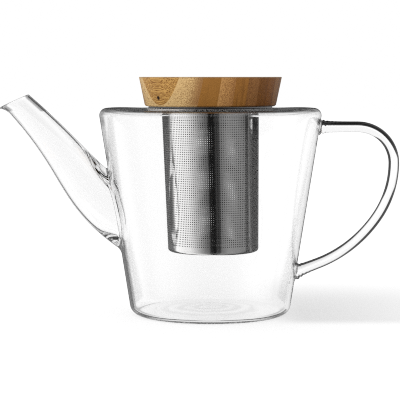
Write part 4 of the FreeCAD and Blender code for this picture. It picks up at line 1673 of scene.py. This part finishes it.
@dataclass
class Studio:
    """A white ground, soft light from the left and the photograph's camera.

    Bearings are from the camera's side, in degrees in the rows of light and in radians elsewhere.
    """

    aim: Triple = (-6.4, 0.0, 70.7)
    distance: float = 964.0
    elevation: float = 4.54
    view_angle: float = 14.66
    clip: Range = (0.01, 100.0)
    floor_half: float = 6000.0
    floor_level: float = -0.05

    box_strength: float = 1.2
    far_walls: float = 2.5
    rise_edge: Range = (-0.01, 0.01)
    rise_bearing: Range = (1.75, 2.2)
    rise_level: float = 0.97
    under_bearing: Range = (0.45, 0.2)
    under_edge: Range = (-0.15, -0.3)
    under_level: float = 0.7

    screen_level: float = 0.85
    screen_top: float = 14.0
    screen_side: float = 32.0
    screen_low: Range = (-6.5, -16.0)
    screen_turn: float = 3.0
    screen_blur: float = 1.5
    edge_level: float = 0.02
    middle_level: float = 0.7
    middle_side: Range = (24.0, 12.0)
    middle_rise: Range = (2.0, -2.0)
    far_side: Range = (100.0, 150.0)
    far_level: Range = (0.8, 0.04)

    filter_width: float = 1.1
    bounces: int = 40
    glass_bounces: int = 32
    light_bounces: int = 12

    def camera(self) -> None:
        """Stand the camera at the photograph's distance and height, looking along +Y."""
        lens = bpy.data.cameras.new("photo_camera")
        lens.sensor_fit = "HORIZONTAL"
        lens.angle = math.radians(self.view_angle)
        lens.clip_start, lens.clip_end = self.clip
        item = bpy.data.objects.new("photo_camera", lens)
        lean = math.radians(self.elevation)
        away = np.array([0.0, -math.cos(lean), math.sin(lean)]) * self.distance
        item.location = (np.array(self.aim) + away) * MM
        item.rotation_euler = (math.pi / 2 - lean, 0.0, 0.0)
        bpy.context.scene.collection.objects.link(item)
        bpy.context.scene.camera = item

    def floor(self) -> None:
        """A white floor that shows the pot's shadow and a painted one beside the handle, and that mirrors see through.
        """
        builder = MeshBuilder()
        side = np.array([-1.0, 1.0]) * self.floor_half
        grid = np.stack([*np.meshgrid(side, side), np.full((2, 2), self.floor_level)], axis=-1)
        builder.join(builder.add(grid), around=False)
        item = builder.build("floor", [FLOOR])
        item.data.materials[0].cycles.emission_sampling = "NONE"

    def world(self) -> None:
        """White behind everything; mirrors and lit surfaces see soft boxes by their bearing."""
        world = bpy.data.worlds.new("studio")
        bpy.context.scene.world = world
        world.use_nodes = True
        world.cycles.sampling_method = "NONE"
        tree = NodeTree(world.node_tree)
        output = tree.node("OutputWorld")
        background = tree.node("Background")
        path = tree.node("LightPath")
        way = tree.parts(tree.node("TexCoord").outputs["Generated"])
        x, y, z = way.outputs
        bearing = tree.math("ARCTAN2", x, tree.math("MULTIPLY", y, -1.0))
        share = tree.math("ADD", tree.math("DIVIDE", bearing, 2 * math.pi), 0.5)
        boxes, sheen, fill = (tree.ramp(share, [(angle / 360.0 + 0.5, (level,) * 3) for angle, level in levels])
                              for levels in (BOXES, SHEEN, FILL))
        rising = tree.product(tree.between(z, *self.rise_edge),
                              tree.between(tree.math("ABSOLUTE", bearing), *self.rise_bearing))
        within = tree.mix(rising, tree.math("MULTIPLY", boxes, self.box_strength), grey(self.rise_level))
        from_behind = tree.math("ABSOLUTE", tree.math("ARCTAN2", x, y))
        under = tree.math("MULTIPLY", tree.between(from_behind, *self.under_bearing), tree.between(z, *self.under_edge))
        behind = tree.math("GREATER_THAN", path.outputs["Transmission Depth"], self.far_walls)
        bright = tree.mix(behind, tree.mix(under, sheen, grey(self.under_level)), within)
        mirrored, scattered = (tree.math("GREATER_THAN", path.outputs[f"{kind} Depth"], 0.5)
                               for kind in ("Glossy", "Diffuse"))
        inside = tree.math("COMPARE", path.outputs["Transmission Depth"], 2.0, 0.5)
        level = tree.mix(mirrored, WHITE, bright)
        level = tree.mix(tree.math("MULTIPLY", mirrored, inside), level, self.trapped_light(tree, way))
        level = tree.mix(scattered, level, fill)
        tree.wire(level, background.inputs["Color"])
        tree.wire(background.outputs[0], output.inputs["Surface"])

    def trapped_light(self, tree: NodeTree, way: bpy.types.Node) -> bpy.types.NodeSocket:
        """What light that was mirrored inside a glass wall meets behind the pot.

        It is a pale screen straight behind, cut off below, above and to both sides, so that walls keep thin dark lines.

        Args:
            tree: the world's nodes.
            way: the parts of the light's direction.
        Returns:
            The level of light.
        """
        x, y, z = way.outputs
        degrees = 180 / math.pi
        rise = tree.math("MULTIPLY", tree.math("ARCSINE", z), degrees)
        aside = tree.math("MULTIPLY", tree.math("ARCTAN2", x, y), degrees)
        outwards = tree.math("ABSOLUTE", aside)
        is_right = tree.between(aside, -self.screen_turn, self.screen_turn)
        left, right = self.screen_low
        low = tree.math("MULTIPLY_ADD", is_right, right - left, left)
        above = tree.between(tree.math("SUBTRACT", rise, low), -self.screen_blur, self.screen_blur)
        below = tree.between(rise, self.screen_top + self.screen_blur, self.screen_top - self.screen_blur)
        far = tree.between(outwards, self.screen_side - self.screen_turn, self.screen_side + self.screen_turn)
        middle = tree.product(tree.between(outwards, *self.middle_side), tree.between(rise, *self.middle_rise),
                              self.middle_level)
        edge = tree.math("ADD", middle, self.edge_level)
        screen = tree.mix(tree.math("MULTIPLY", above, below), edge, grey(self.screen_level))
        return tree.mix(far, screen, tree.mapped(outwards, *self.far_side, *self.far_level))

    def settings(self) -> None:
        """Plain colours, and enough bounces for light to pass through the glass."""
        scene = bpy.context.scene
        scene.view_settings.view_transform = "Standard"
        scene.cycles.filter_width = self.filter_width
        scene.cycles.use_denoising = False
        scene.cycles.max_bounces = self.bounces
        scene.cycles.transmission_bounces = self.glass_bounces
        scene.cycles.glossy_bounces = self.glass_bounces
        scene.cycles.min_light_bounces = self.light_bounces


# Rows of light as (bearing in degrees, level): what steel mirrors, what the glass's faces mirror, and the soft fill.
BOXES = [(-180, 0.78), (-169, 0.78), (-162, 0.06), (-122, 0.07), (-116, 0.2), (-112, 0.3), (-106, 0.95), (-90, 0.9),
         (-60, 0.78), (-44, 0.5), (-28, 0.24), (-16, 0.13), (-9, 0.09), (-6, 0.002), (7, 0.002), (9, 0.03), (18, 0.03),
         (21, 0.14), (40, 0.24), (65, 0.22), (88, 0.13), (92, 0.02), (110, 0.035), (116, 0.002), (142, 0.002),
         (162, 0.02), (169, 0.78), (180, 0.78)]
SHEEN = [(-180, 0.08), (-174, 0.04), (-168, 0.2), (-160, 0.42), (-150, 0.5), (-140, 0.72), (-125, 0.9), (-60, 0.9),
         (-25, 0.15), (25, 0.12), (60, 0.5), (100, 0.95), (142, 0.9), (165, 0.2), (174, 0.06), (180, 0.08)]
FILL = [(-180, 0.95), (-90, 1.35), (0, 0.95), (90, 0.65), (180, 0.95)]

GLASS = GlassFinish("teapot_glass")
RIM_STEEL = SteelFinish("infuser_rim_steel", roughness=0.1)
# The flange's cut edge is near-black steel: painted shade where the lid overhangs it.
SHADED_EDGE_STEEL = SteelFinish("infuser_edge_painted_shade", colour=(0.12, 0.12, 0.125), roughness=0.3)
SCREEN_STEEL = SteelFinish("infuser_screen_steel", roughness=0.08)
# Near-black steel inside the screen: painted shade.
SHADED_INNER_STEEL = SteelFinish("infuser_inner_painted_shade", colour=(0.05, 0.05, 0.05), roughness=0.4)
SILICONE = SiliconeFinish("lid_silicone")
FLOOR = FloorFinish("studio_floor")

# The lid's strips from the back to the front: tone, share of bundles, its change with depth, streaks and rind.
TONES = [(0.24, 0.11, 0.035), (0.24, 0.11, 0.035), (0.24, 0.11, 0.035), (0.24, 0.105, 0.03), (0.20, 0.072, 0.011),
         (0.19, 0.071, 0.012), (0.27, 0.118, 0.034), (0.31, 0.13, 0.025), (0.54, 0.28, 0.093), (0.345, 0.15, 0.029),
         (0.74, 0.49, 0.215), (0.64, 0.36, 0.105)]
DOTS = [0.4, 0.4, 0.4, 0.4, 0.35, 0.35, 0.4, 0.15, 0.6, 0.0, 0.66, 0.75]
CROWDING = [0.0, 0.0, 0.0, 0.0, 0.0, 0.0, 0.3, 0.0, -0.6, 0.0, -1.1, 0.0]
STREAKS = [0.5, 0.5, 0.5, 0.6, 0.6, 0.6, 0.6, 0.6, 0.15, 0.2, 0.05, 0.0]
RINDS = [0.3, 0.3, 0.3, 0.3, 0.2, 0.2, 0.2, 0.0, 0.35, 0.0, 0.85, 0.0]
STRIP_FINISHES = [BambooFinish(f"bamboo_strip_{number:02d}", *looks, number)
                  for number, looks in enumerate(zip(TONES, DOTS, CROWDING, STREAKS, RINDS), 1)]


def seat(piece: bpy.types.Object, body: Body, slot: str, *nodes: str) -> None:
    """Let a piece ride on its body in place of its solids, and report it.

    Args:
        piece: the new piece.
        body: the body that it rides on.
        slot: its material slot in the record; not used.
        nodes: the nodes that it replaces.
    """
    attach(piece, body.value)
    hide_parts(*nodes)
    LOG.info("%s rides on %s for %s", piece.name, body.value, ", ".join(nodes))


def main() -> None:
    """Build the pieces, the studio and the camera."""
    logging.basicConfig(level=logging.INFO)
    slots = {part["node"]: part["material_slot"] for part in frame["record"]["subparts"]}
    seat(GlassPot().build(), Body.POT, Slot.GLASS.value, "glass_body", "spout", "handle")
    infuser = Infuser()
    seat(infuser.rim(), Body.INFUSER, Slot.RIM.value, "infuser_rim")
    seat(infuser.screen(), Body.INFUSER, Slot.SCREEN.value, "infuser_wall")
    seat(infuser.cup(), Body.INFUSER, Slot.SCREEN.value, "infuser_base")
    lid = BambooLid()
    for number in range(1, lid.strips + 1):
        node = f"lid_strip_{number:02d}"
        seat(lid.strip(number), Body.LID, slots[node], node)
    seat(lid.seal(), Body.LID, Slot.SEAL.value, "lid_seal")
    studio = Studio()
    studio.floor()
    studio.world()
    studio.camera()
    studio.settings()


if __name__ == "__main__":
    main()
